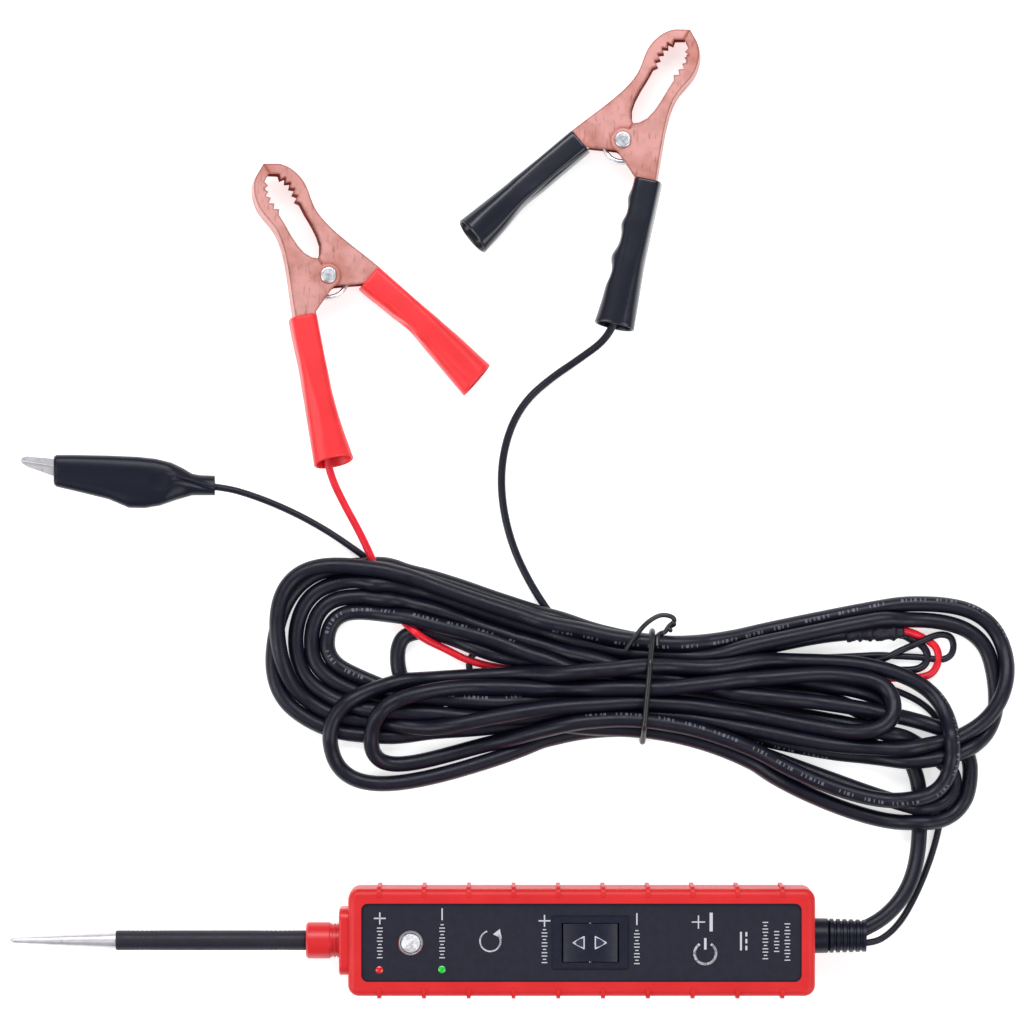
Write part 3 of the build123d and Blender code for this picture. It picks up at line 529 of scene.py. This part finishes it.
def strand(start, out, end, into, layers, step=STRAND_STEP):
    """Points from start, leaving along out, to just before end, arriving along into."""
    start, out, end, into = (np.array(v, float) for v in (start, out, end, into))
    t = np.linspace(0, 1, 200)[:, None]
    line = (1 - t) ** 3 * start + 3 * (1 - t) ** 2 * t * (start + out)
    line += 3 * (1 - t) * t ** 2 * (end - into) + t ** 3 * end
    run = np.r_[0, np.cumsum(np.linalg.norm(np.diff(line, axis=0), axis=1))]
    at = np.linspace(0, run[-1], max(3, round(run[-1] / step)) + 1)[:-1]
    share = at / run[-1]
    layer = layers[0] + (layers[1] - layers[0]) * (3 * share ** 2 - 2 * share ** 3)
    return np.c_[np.interp(at, run, line[:, 0]), np.interp(at, run, line[:, 1]), layer]


def heading(degrees, length):
    return np.array([cos(radians(degrees)), sin(radians(degrees))]) * length


def hank_strands():
    """The power cord's points inside the hank: fold after fold between crossings of the waist."""
    y, slope, _, right, layer = CROSSINGS[0]
    lines = [strand(HANK_START, (0.5, 38), (WAIST_X, y), heading(slope, -right), (0.3, layer))]
    for number, (x, tip_y, before, after, tip_layer) in enumerate(FOLDS):
        side = 1 if number % 2 else -1
        reach = 3 if side > 0 else 2
        coming, going = CROSSINGS[number], CROSSINGS[number + 1]
        out = heading(coming[1], side * coming[reach])
        back = heading(going[1], -side * going[reach])
        turn = np.array([0.0, -side])
        tip = (x, tip_y)
        lines.append(strand((WAIST_X, coming[0]), out, tip, turn * before, (coming[4], tip_layer)))
        lines.append(strand(tip, turn * after, (WAIST_X, going[0]), back, (tip_layer, going[4])))
    y, slope, _, right, layer = CROSSINGS[-1]
    lines.append(strand((WAIST_X, y), heading(slope, right), HANK_END, (35, -1), (layer, 3)))
    return np.vstack(lines)


def lead_strand(way):
    """A thin lead's points inside the hank."""
    lines = []
    for (x0, y0, h0, r0, l0), (x1, y1, h1, r1, l1) in zip(way, way[1:]):
        lines.append(strand((x0, y0), heading(h0, r0), (x1, y1), heading(h1, r1), (l0, l1), 4.0))
    return np.vstack(lines + [[[*way[-1][:2], way[-1][4]]]])


class Strands:
    """All strands in the hank, as one list of points, to be lowered and pushed apart."""

    def __init__(self, parts):
        """Each part is (radius, held points before, free points with layers, held points after)."""
        places, self.radius, self.free, self.part = [], [], [], []
        for number, (radius, before, loose, after) in enumerate(parts):
            loose = np.array(loose, float)
            loose[:, 2] = loose[:, 2] * LAYER_HEIGHT + radius
            for points, free in ((before, False), (loose, True), (after, False)):
                for point in points:
                    places.append(point)
                    self.radius.append(radius)
                    self.free.append(free)
                    self.part.append(number)
        self.place = np.array(places, float)
        self.radius, self.free = np.array(self.radius), np.array(self.free)
        self.part = np.array(self.part)
        self.home = self.place[:, :2].copy()
        count = len(self.place)
        same_before = np.r_[False, self.part[1:] == self.part[:-1]]
        same_after = np.r_[self.part[1:] == self.part[:-1], False]
        self.loose = self.free & same_before & same_after
        self.before = np.where(self.loose, np.arange(count) - 1, np.arange(count))
        self.after = np.where(self.loose, np.arange(count) + 1, np.arange(count))
        run = np.linalg.norm(np.diff(self.home, axis=0, prepend=self.home[:1]), axis=1)
        self.run = np.cumsum(run)

    def find_pairs(self):
        """Pairs of points that may touch soon, apart from neighbours along one strand."""
        gap = self.place[:, None, :] - self.place[None, :, :]
        reach = self.radius[:, None] + self.radius[None, :] + 5
        i, j = np.nonzero(np.triu((gap ** 2).sum(2) < reach ** 2, 1))
        along = np.abs(self.run[i] - self.run[j])
        keep = (self.part[i] != self.part[j]) | (along > 5 * self.radius[i])
        keep &= self.free[i] | self.free[j]
        self.i, self.j = i[keep], j[keep]
        self.need = self.radius[self.i] + self.radius[self.j] + STRAND_GAP

    def ease(self, share):
        """Stiffness: each point moves towards the middle of its two neighbours' rise and shift."""
        rise = self.place[:, 2]
        rise[self.loose] += share * ((rise[self.before] + rise[self.after]) / 2 - rise)[self.loose]
        shift = self.place[:, :2] - self.home
        eased = share * ((shift[self.before] + shift[self.after]) / 2 - shift)
        self.place[self.loose, :2] += eased[self.loose]

    def crowd(self):
        """Near the tie the strands keep within the waist."""
        off = self.place[:, 0] - WAIST_X
        near = self.free & (np.abs(off) < WAIST_REACH)
        middle = WAIST_Y - WAIST_LEAN * off
        half = WAIST_HALF + WAIST_FLARE * off ** 2 - self.radius
        kept = np.clip(self.place[:, 1], middle - half, middle + half)
        self.place[near, 1] = kept[near]

    def part_touching(self):
        """Touching strands are pushed apart, more upwards than sideways."""
        gap = self.place[self.i] - self.place[self.j]
        length = np.sqrt((gap ** 2).sum(1)) + 1e-9
        push = np.clip(self.need - length, 0, None) * 0.3
        move = gap / length[:, None] * push[:, None] * (0.35, 0.35, 1.0)
        total = np.zeros_like(self.place)
        np.add.at(total, self.i, move)
        np.add.at(total, self.j, -move)
        self.place[self.free] += total[self.free]
        low = self.free & (self.place[:, 2] < self.radius)
        self.place[low, 2] = self.radius[low]

    def settle(self, rounds=420, last_rounds=25):
        """Lower the strands to the floor, pushing apart those that touch.

        Strands that meet level with each other can still run through each other.
        """
        for number in range(rounds):
            closing = number > rounds - last_rounds
            if number % 8 == 0:
                self.find_pairs()
            fall, easings, stiffness, kept = (0.05, 1, 0.15, 0.99) if closing else (0.25, 2, 0.5, 0.95)
            self.place[self.free, 2] -= fall
            for _ in range(easings):
                self.ease(stiffness)
            shift = self.place[:, :2] - self.home
            self.place[:, :2] = self.home + shift * kept
            self.crowd()
            for _ in range(4):
                self.part_touching()

    def points(self, number):
        return self.place[self.part == number] * MM


def mm(points):
    return [tuple(c / MM for c in point) for point in points]


def lay_cords():
    """The four cords' control points, outside and inside the hank."""
    split = [(x, SPLIT_Y, SPLIT_Z) for x in (181.0, 185.5)]
    red_start = [(188.0, 127.4, 4.2)]
    black_start = [(188.0, 125.6, 3.7)]
    parts = [
        (CORD_DIAMETER / 2 / MM, mm(CORD_ROUTE), hank_strands(), split),
        (AUX_DIAMETER / 2 / MM, mm(AUX_ROUTE), lead_strand(AUX_WAY), mm(AUX_END_ROUTE)),
        (LEAD_DIAMETER / 2 / MM, red_start, lead_strand(RED_WAY), mm(RED_ROUTE)),
        (LEAD_DIAMETER / 2 / MM, black_start, lead_strand(BLACK_WAY), mm(BLACK_ROUTE)),
    ]
    strands = Strands(parts)
    strands.settle()
    return [strands.points(number) for number in range(len(parts))]


CORDS = {
    # In the order of lay_cords(): diameter, slot and the CAD nodes that the cord stands for.
    "power_cord": (CORD_DIAMETER, "cord_black", ("power_cord_tube", "power_cord_hank")),
    "aux_lead": (AUX_DIAMETER, "cord_black", ("aux_lead_tube", "aux_lead_end_tube")),
    "red_lead": (LEAD_DIAMETER, "wire_red", ("red_lead_tube",)),
    "black_lead": (LEAD_DIAMETER, "cord_black", ("black_lead_tube",)),
}


def make_cords():
    made = {}
    for points, (name, (diameter, slot, nodes)) in zip(lay_cords(), CORDS.items()):
        made[name] = finish_piece(curve_through(name, points, diameter / 2), slot, replaces=nodes)
    return made


def run_of(points):
    """Distance along a line at each of its points."""
    return np.r_[0, np.cumsum(np.linalg.norm(np.diff(points, axis=0), axis=1))]


def point_at(points, run, distance):
    return np.array([np.interp(distance, run, points[:, axis]) for axis in range(3)])


def cord_print(line):
    """Faint ticks in place of the lettering that runs along the cord, which turns slowly about it."""
    run = run_of(line)
    gaps = [1.9, 1.9, 1.5, 2.4, 1.9, 4.6, 1.7, 2.2, 1.9, 1.9, 5.4, 1.6, 1.9, 2.1, 7.5]
    vertices, faces = [], []
    distance, number = 0.10, 0
    while distance < run[-1] - 0.02:
        turn = 3.1 * sin(3.3 * distance + 0.6)
        if abs(turn) < 1.0:
            first = len(vertices)
            here = point_at(line, run, distance)
            ahead = point_at(line, run, distance + MM) - here
            ahead /= np.linalg.norm(ahead)
            across = np.cross(ahead, (0, 0, 1))
            across /= np.linalg.norm(across)
            up = np.cross(across, ahead)
            width = (0.55 if number % 3 else 1.1) * MM
            for edge in (-0.22, 0.0, 0.22):
                spoke = sin(turn + edge) * across + cos(turn + edge) * up
                place = here + (CORD_DIAMETER / 2 + 0.03 * MM) * spoke
                vertices += [place, place + width * ahead]
            for k in (first, first + 2):
                faces.append((k, k + 1, k + 3, k + 2))
        distance += gaps[number % len(gaps)] * MM
        number += 1
    return finish_piece(mesh_piece("cord_print", vertices, faces), "cord_print")


SPLIT_LOWEST = 4.25 * MM           # height of the sleeve's middle where its knobs rest on the floor


def split_sleeve(line):
    """Shrink tube over the end of the cord, knobbly where the two cores part inside it."""
    run = run_of(line)
    start = run[-1] - 0.017
    back = [point_at(line, run, start + step * 0.0015) for step in range(11)]
    ahead = [(x * MM, SPLIT_Y * MM, SPLIT_Z * MM) for x in (187.5, 189.0, 190.5, SPLIT_END)]
    path = [(x, y, max(z, SPLIT_LOWEST)) for x, y, z in back + ahead]

    def radius(share):
        knobs = 0.35 * sin(31 * share) + 0.2 * sin(53 * share + 1)
        return (3.7 + knobs - 1.1 * max(0, share - 0.75) / 0.25) * MM

    sleeve = tube("split_sleeve", smooth_line(path, 60), radius, sides=20)
    return finish_piece(sleeve, "shrink_black", replaces=("cord_split_sleeve",))


# ---- the twist tie ------------------------------------------------------------------------------
TIE_RADIUS = 1.15
TIE_LEAN = 0.09                    # how far the tie slants along X for each millimetre of Y


def waist_discs(lines):
    """Where each strand passes the waist: (y, z, radius) in millimetres."""
    discs = []
    for line, diameter in lines:
        points = line / MM
        crossed = np.nonzero(np.diff(np.sign(points[:, 0] - WAIST_X)))[0]
        for k in crossed:
            discs.append((points[k, 1], points[k, 2], diameter / 2 / MM))
    return np.array(discs)


def height_at(lines, x, y):
    """How high the strands reach at a place, in millimetres."""
    best = 0.0
    for line, diameter in lines:
        points = line / MM
        radius = diameter / 2 / MM
        off = np.hypot(points[:, 0] - x, points[:, 1] - y)
        near = off < radius
        if near.any():
            tops = points[near, 2] + np.sqrt(radius ** 2 - off[near] ** 2)
            best = max(best, tops.max())
    return best


def twist_tie(lines):
    discs = waist_discs(lines)
    loop = []
    for turn in np.linspace(0, tau, 72, endpoint=False):
        way = np.array([cos(turn), sin(turn)])
        reach = discs[:, :2] @ way + discs[:, 2] + TIE_RADIUS
        y, z = discs[reach.argmax(), :2] + way * (discs[reach.argmax(), 2] + TIE_RADIUS)
        z = max(z, TIE_RADIUS)
        loop.append(((WAIST_X - 1.0 + TIE_LEAN * (y - 104)) * MM, y * MM, z * MM))
    band = curve_through("twist_tie", loop, TIE_RADIUS * MM, cyclic=True)
    finish_piece(band, "tie_black", replaces=("twist_tie",))
    low, high = height_at(lines, 79.0, 121.0), height_at(lines, 85.2, 123.0)
    tail = [
        (90.3, 121.0, high + 1.4), (89.9, 124.6, high + 0.4), (91.6, 126.4, high - 1.5),
        (93.6, 126.6, high - 2.0), (94.9, 129.2, high - 1.0), (97.6, 131.2, high + 0.2),
        (96.6, 133.3, high + 1.4), (91.4, 134.2, high + 2.0), (85.6, 130.6, high + 2.2),
        (81.6, 125.6, low + 2.4), (78.4, 121.2, low + 1.2), (77.4, 119.6, low + 1.1),
    ]
    end = curve_through("twist_tie_end", [(x * MM, y * MM, z * MM) for x, y, z in tail], 1.0 * MM)
    finish_piece(end, "tie_black")
    twist = []
    for t in np.linspace(0, 1, 24):
        turn = 9 * t
        x, z = 95.0 + 2.2 * t + 0.7 * cos(turn), high - 0.9 + t + 0.7 * sin(turn)
        twist.append((x, 127.4 + 3.6 * t, z))
    second = curve_through("twist_tie_twist", [(x * MM, y * MM, z * MM) for x, y, z in twist], 0.9 * MM)
    finish_piece(second, "tie_black")


# ---- battery clips ------------------------------------------------------------------------------
CLIPS = {
    "red": {"pivot": (-45.7, 273.0, 11.7), "turn": 30.0, "roll": 8.0, "wire_side": -1},
    "black": {"pivot": (76.6, 328.9, 9.7), "turn": -31.2, "roll": 5.0, "wire_side": 1},
}
CLIP_WIDTH = 14.0
INNER_WIDTH = 11.0
HANDLE_START = (16.0, -8.7)
HANDLE_LEAN = 19.0
STRAY_FROM = 32.0                  # along a handle, where its sleeve starts to stray from it
SLEEVE_FLOOR = 0.15                # the lowest that a sleeve's outside comes


def clip_place(colour):
    """From a clip's own frame, with +Y towards its tip, to the scene; millimetres."""
    spec = CLIPS[colour]
    turned = Matrix.Rotation(radians(spec["turn"]), 4, "Z")
    rolled = Matrix.Rotation(radians(-spec["roll"] * spec["wire_side"]), 4, "Y")
    return Matrix.Translation(spec["pivot"]) @ turned @ rolled


def bulge(distance, angle, at, spread):
    """1 at a place on a sleeve's surface, fading to 0 round it; angles in radians."""
    turn = (angle - at[1] + pi) % tau - pi
    return np.exp(-((distance - at[0]) / spread[0]) ** 2 - (turn / spread[1]) ** 2)


def vinyl_sleeve(colour, part, side, width, reach, stray, dents, skew):
    """A soft vinyl tube over a handle: boxy over the channel, flared and open at its far end.

    reach is where it starts and ends along the handle, stray is how far its middle lies outwards at
    its start, at STRAY_FROM and at its own end, each dent is (distance, angle, depth, spread
    along, spread round) with angle 0 outwards and pi/2 up, and skew slants the open end.
    """
    place = clip_place(colour)
    lean = radians(HANDLE_LEAN)
    wall = 1.0
    start, length = reach
    stations = np.linspace(start, length, 64)
    angles = np.linspace(0, tau, 72, endpoint=False)

    def ring(distance, inset, fold=1.0):
        share = np.clip((distance - 18) / (length - 18), 0, 1)
        half_wide = np.interp(distance, [1.6, 18, 35, length], [5.6, 5.6, 6.1, 8.3]) - inset
        depths = [width / 2 + 1.6, width / 2 + 1.2, 6.3]
        half_deep = np.interp(distance, [18, 35, length], depths) - inset
        power = 0.42 + 0.5 * share
        middle = np.interp(distance, [start, 15, STRAY_FROM, length], [stray[0], *stray])
        points = []
        for angle in angles:
            c, s = cos(angle), sin(angle)
            out = half_wide * np.sign(c) * abs(c) ** power
            up = half_deep * np.sign(s) * abs(s) ** power
            dent = sum(d[2] * bulge(distance, angle, d[:2], d[3:]) for d in dents) * fold
            out, up = out - dent * c, up - dent * s
            away = distance - skew * share ** 3 * s
            x = HANDLE_START[0] + away * sin(lean) + (out + middle) * cos(lean)
            y = HANDLE_START[1] - away * cos(lean) + (out + middle) * sin(lean)
            spot = place @ Vector((side * x, y, up))
            spot.z = max(spot.z, SLEEVE_FLOOR + inset)
            points.append(tuple(MM * spot))
        return points

    rings = [ring(start + 0.3, 0.9, 0.6), ring(start, 0.45), ring(start + 0.15, 0.08)]
    rings += [ring(distance, 0.0) for distance in stations[1:]]
    rings += [ring(length + 0.25, 0.3), ring(length + 0.1, wall - 0.2)]
    rings += [ring(length - back, wall) for back in (0.5, 3, 7, 12, 18, 24)]
    if side < 0:
        rings = [list(reversed(points)) for points in rings]
    return skin(f"{colour}_{part}", rings, close_start=False)


def clip_spring(colour):
    """The torsion spring round the rivet, with a leg down each handle."""
    place = clip_place(colour)
    path = [(-21.0, -25.0, -2.7), (-15.2, -14.6, -2.7), (-8.8, -3.4, -2.7)]
    turns = 3.5
    for t in np.linspace(0, 1, 90):
        angle = pi + tau * turns * t
        path.append((7.5 * cos(angle), -1.2 + 7.5 * sin(angle), -2.7 + 5.4 * t))
    path += [(8.8, -3.4, 2.7), (15.2, -14.6, 2.7), (21.0, -25.0, 2.7)]
    points = [tuple(MM * (place @ Vector(p))) for p in path]
    spring = tube(f"{colour}_spring", points, 0.95 * MM)
    finish_piece(spring, "steel", body=None, replaces=(f"{colour}_clip_spring",))
    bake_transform(spring)
    return spring


SLEEVES = {
    # By clip and handle: reach, stray, dents and skew, as vinyl_sleeve() takes them.
    ("red", "outer"): ((1.0, 62.0), (0.9, 0.9, -0.4),
                       [(24, 0.0, 0.4, 9, 0.8), (46, pi, 0.6, 12, 0.7), (40, 1.1, 0.6, 16, 0.35)], 1.7),
    ("red", "inner"): ((-0.3, 61.0), (-1.0, -1.3, -3.6),
                       [(3, pi, -0.7, 8, 0.9), (26, pi, 2.2, 5.0, 0.6), (31, 2.4, -0.9, 4, 0.35),
                        (14, 2.3, 0.6, 9, 0.5), (42, 0.0, -0.5, 14, 0.8), (48, 1.7, 0.8, 14, 0.3)], 0.6),
    ("black", "outer"): ((0.3, 61.8), (1.1, 0.8, 0.0),
                         [(9, pi, -1.0, 3.4, 0.5), (20, pi, -1.3, 3.2, 0.6), (34, pi, -1.8, 3.8, 0.6),
                          (42, pi, 1.0, 3.4, 0.6), (44, 2.6, -0.7, 6, 0.5),
                          (30, 1.9, 0.5, 20, 0.3)], 0.8),
    ("black", "inner"): ((0.1, 59.5), (-0.8, -0.8, -2.2),
                         [(20, 2.5, 0.7, 14, 0.28), (30, 2.1, -0.6, 12, 0.35), (36, pi, 0.9, 7, 0.6),
                          (50, 1.8, 0.7, 12, 0.3)], 1.6),
}


def dress_clip(colour):
    side = CLIPS[colour]["wire_side"]
    outer = vinyl_sleeve(colour, "wire_sleeve", side, CLIP_WIDTH, *SLEEVES[colour, "outer"])
    finish_piece(outer, f"{colour}_vinyl", replaces=(f"{colour}_clip_sleeve_outer",))
    inner = vinyl_sleeve(colour, "free_sleeve", -side, INNER_WIDTH, *SLEEVES[colour, "inner"])
    finish_piece(inner, f"{colour}_vinyl", f"{colour}_jaw", replaces=(f"{colour}_clip_sleeve_inner",))
    return [outer, clip_spring(colour)]


# ---- crocodile clip -----------------------------------------------------------------------------
CROC_MID_Z = 5.8
CROC_PIN = (-137.0, 191.2)
BOOT_FLOOR = 0.05                  # the lowest that the boot comes
BOOT_TOP_EDGE = [
    (-158.3, 199.2), (-157.4, 199.8), (-150.0, 199.8), (-136.0, 199.5), (-124.0, 199.0), (-116.5, 198.2),
    (-110.0, 196.6), (-105.5, 194.4), (-101.5, 192.0), (-98.0, 191.4), (-92.2, 191.2),
]
BOOT_LOW_EDGE = [
    (-158.3, 187.4), (-157.4, 186.6), (-150.0, 184.9), (-136.0, 181.5), (-131.0, 179.4), (-127.5, 177.9),
    (-121.0, 177.8), (-115.0, 178.8), (-108.0, 181.2), (-101.5, 183.1), (-92.2, 183.1),
]


def croc_boot():
    """The soft boot: flat-sided over the jaws and drawn in to a neck round the lead."""
    top, low = np.array(BOOT_TOP_EDGE), np.array(BOOT_LOW_EDGE)
    rings = []
    for x in np.r_[np.linspace(-158.3, -157.0, 5), np.linspace(-155.5, -93.0, 80), -92.4, -92.2]:
        high, base = np.interp(x, top[:, 0], top[:, 1]), np.interp(x, low[:, 0], low[:, 1])
        neck = np.clip((x + 112) / 9, 0, 1)
        deep = 5.75 - 1.7 * neck * neck * (3 - 2 * neck)
        if x < -157.0:
            deep -= 0.8 * ((-157.0 - x) / 1.3) ** 2
        power = 0.5 + 0.5 * neck
        crease = 189.0 + 2.0 * np.clip((x + 118.6) / 10.7, 0, 1)
        crease -= 4.3 * np.clip((x + 107.9) / 15, 0, 1)
        fade = np.clip((x + 121) / 4, 0, 1)
        points = []
        for angle in np.linspace(0, tau, 64, endpoint=False):
            c, s = cos(angle), sin(angle)
            y = (high + base) / 2 + (high - base) / 2 * np.sign(c) * abs(c) ** power
            z = deep * np.sign(s) * abs(s) ** power
            fold = np.exp(-((y - crease) / 0.55) ** 2) - 1.3 * np.exp(-((y - crease + 1.3) / 0.9) ** 2)
            shallow = -0.35 * np.exp(-((y - 191.6) / 1.6) ** 2) * np.clip((-x - 116) / 6, 0, 1)
            z += np.sign(s) * (0.55 * fade * fold + shallow) * min(1, abs(s) * 2)
            points.append((x * MM, y * MM, max(BOOT_FLOOR, CROC_MID_Z + z) * MM))
        rings.append(points)
    for inset, x in ((0.8, -158.3), (0.9, -150.0)):
        middle = np.mean(rings[0], axis=0)
        shrunk = []
        for point in rings[0]:
            away = np.array(point) - middle
            kept = middle + away * (1 - inset * MM / np.linalg.norm(away))
            shrunk.append((x * MM, kept[1], kept[2]))
        rings.insert(0, shrunk)
    boot = skin("croc_clip_boot", rings)
    finish_piece(boot, "black_rubber", body=None, replaces=("croc_boot",))
    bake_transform(boot)
    return boot


def croc_spring():
    x, y = CROC_PIN
    path = [(-126.0, 193.0, CROC_MID_Z - 1.2), (-131.5, 192.9, CROC_MID_Z - 1.2)]
    for t in np.linspace(0, 1, 70):
        angle = 1.2 + tau * 3.9 * t
        path.append((x + 2.15 * cos(angle), y + 2.15 * sin(angle), CROC_MID_Z - 1.2 + 2.4 * t))
    path += [(-131.5, 187.3, CROC_MID_Z + 1.2), (-127.2, 184.5, CROC_MID_Z + 1.2)]
    spring = tube("croc_clip_spring", [tuple(c * MM for c in p) for p in path], 0.38 * MM, sides=8)
    finish_piece(spring, "steel", body=None, replaces=("croc_spring",))
    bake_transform(spring)
    return spring


# ---- tester -------------------------------------------------------------------------------------
def probe_insulation():
    """Shrink tube over the probe's shaft, faintly rippled near its two ends."""
    low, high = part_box("probe_sleeve")
    y, z = (low.y + high.y) / 2, (low.z + high.z) / 2
    radius = (high.y - low.y) / 2

    def size(share):
        ends = np.exp(-((share - 0.15) / 0.09) ** 2) + np.exp(-((share - 0.85) / 0.09) ** 2)
        rim = 0.25 * MM * max(0.0, 1 - min(share, 1 - share) / 0.006)
        return radius - 0.12 * MM * ends * (1 + sin(260 * share)) / 2 - rim

    points = [(low.x + (high.x - low.x) * t, y, z) for t in np.linspace(0, 1, 240)]
    sleeve = tube("probe_insulation", points, size, sides=40)
    return finish_piece(sleeve, "shrink_black", replaces=("probe_sleeve",))


def ground_under(node):
    """Finds the top of a CAD node under a point."""
    mesh = frame["nodes"][node].data
    tree = BVHTree.FromPolygons([v.co for v in mesh.vertices], [p.vertices[:] for p in mesh.polygons])

    def height(x, y):
        hit = tree.ray_cast(Vector((x, y, 0.05)), Vector((0, 0, -1)))[0]
        return hit.z if hit else 0.0

    return height


def stroke(points, width, closed=False):
    """Quads along a line of points in the plane; each quad's corners are (x, y)."""
    points = np.array(points, float)
    if closed:
        points = np.vstack([points, points[:1]])
    ahead = np.diff(points, axis=0)
    ahead /= np.linalg.norm(ahead, axis=1)[:, None]
    quads = []
    for k, way in enumerate(ahead):
        side = np.array([-way[1], way[0]]) * width / 2
        a, b = points[k] - way * width * 0.25, points[k + 1] + way * width * 0.25
        steps = max(1, round(np.linalg.norm(b - a) / (0.8 * MM)))
        for s in range(steps):
            p, q = a + (b - a) * s / steps, a + (b - a) * (s + 1) / steps
            quads.append([p - side, q - side, q + side, p + side])
    return quads


def arc(centre, radius, start, end, count=28):
    turns = np.radians(np.linspace(start, end, count))
    return [(centre[0] + radius * cos(t), centre[1] + radius * sin(t)) for t in turns]


def printed(name, quads, node, slot, body="root", lift=0.00006):
    """Ink on a CAD node's top: the quads dropped onto its surface."""
    height = ground_under(node)
    vertices, faces = [], []
    for quad in quads:
        faces.append(tuple(range(len(vertices), len(vertices) + len(quad))))
        vertices += [(x, y, height(x, y) + lift) for x, y in quad]
    return finish_piece(mesh_piece(name, vertices, faces, smooth=False), slot, body)


def scaled(points, origin=(0, 0)):
    return [((x + origin[0]) * MM, (y + origin[1]) * MM) for x, y in points]


def minus(x, y, size=2.3, width=0.55):
    return stroke(scaled([(x, y - size), (x, y + size)]), width * MM)


def plus(x, y, size=2.3, width=0.55):
    return stroke(scaled([(x - size, y), (x + size, y)]), width * MM) + minus(x, y, size, width)


def ticks(x, low, high, height=2.1, pitch=1.35, width=0.42):
    """A row of plain ticks along Y in place of a word, every third one short."""
    quads = []
    for number in range(int((high - low) / pitch) + 1):
        reach = height / 2 * (0.55 if number % 3 == 1 else 1)
        y = low + number * pitch
        quads += stroke(scaled([(x - reach, y), (x + reach, y)]), width * MM)
    return quads


def reset_mark(x, y, radius=4.2):
    """An arrow that goes most of the way round, for the breaker that resets itself."""
    quads = stroke(scaled(arc((x, y), radius, 110, 400)), 0.65 * MM)
    tip = (x + radius * cos(radians(40)), y + radius * sin(radians(40)))
    quads.append(scaled([(-2.1, 0.1), (1.5, -1.6), (0.7, 2.3)], tip))
    return quads


def direct_current(x, y, half=3.6):
    """The sign for direct current: a line beside three dashes."""
    quads = stroke(scaled([(x, y - half), (x, y + half)]), 0.8 * MM)
    for step in (-1, 0, 1):
        middle = y + step * half * 0.78
        quads += stroke(scaled([(x + 2.2, middle - 0.7), (x + 2.2, middle + 0.7)]), 0.8 * MM)
    return quads


def face_marks():
    """Plain marks in place of the printed words and symbols."""
    quads = plus(-23.6, 9.9) + ticks(-23.6, -6.2, 6.2)
    quads += minus(1.9, 11.6) + ticks(1.9, -6.2, 7.6)
    quads += reset_mark(21.6, 0.6)
    quads += plus(43.8, 8.9) + ticks(43.8, -8.2, 5.4)
    quads += minus(81.6, 9.6) + ticks(81.6, -8.6, 6.2)
    quads += stroke(scaled([(112.0, 4.9), (112.0, 11.9)]), 1.3 * MM)
    quads += plus(106.8, 8.4, 2.6, 0.5)
    quads += stroke(scaled(arc((109.6, -4.4), 4.4, 125, 415)), 1.0 * MM)
    quads += stroke(scaled([(109.6, -2.6), (109.6, 1.6)]), 1.0 * MM)
    quads += direct_current(124.2, 0.6)
    quads += ticks(134.2, -6.6, 8.6) + ticks(138.8, -3.6, 4.6, height=1.9) + ticks(143.2, -7.2, 8.8)
    return printed("face_marks", quads, "face_plate", "print_white")


def rocker_marks():
    """An outlined triangle at each end of the rocker."""
    white, blue = [], []
    for x, way in ((58.0, -1), (66.6, 1)):
        corners = [(x - way * 2.0, -2.5), (x - way * 2.0, 2.5), (x + way * 2.5, 0.0)]
        white += stroke(scaled(corners), 0.5 * MM, closed=True)
        blue.append(scaled(corners))
    printed("rocker_mark_fill", blue, "switch_rocker", "print_blue", "rocker", 0.00004)
    printed("rocker_marks", white, "switch_rocker", "print_white", "rocker", 0.00009)


# ---- the whole scene ----------------------------------------------------------------------------
paint = make_materials()
make_camera()
make_studio()
cords = make_cords()
paint_cad_nodes()

cord_lines = {name: line_of(cord) for name, cord in cords.items()}
sleeve = split_sleeve(cord_lines["power_cord"])
marks = cord_print(cord_lines["power_cord"])
twist_tie([(line, CORDS[name][0]) for name, line in cord_lines.items()])
dressed = {colour: dress_clip(colour) for colour in CLIPS}
boot, small_spring = croc_boot(), croc_spring()
probe_insulation()
face_marks()
rocker_marks()
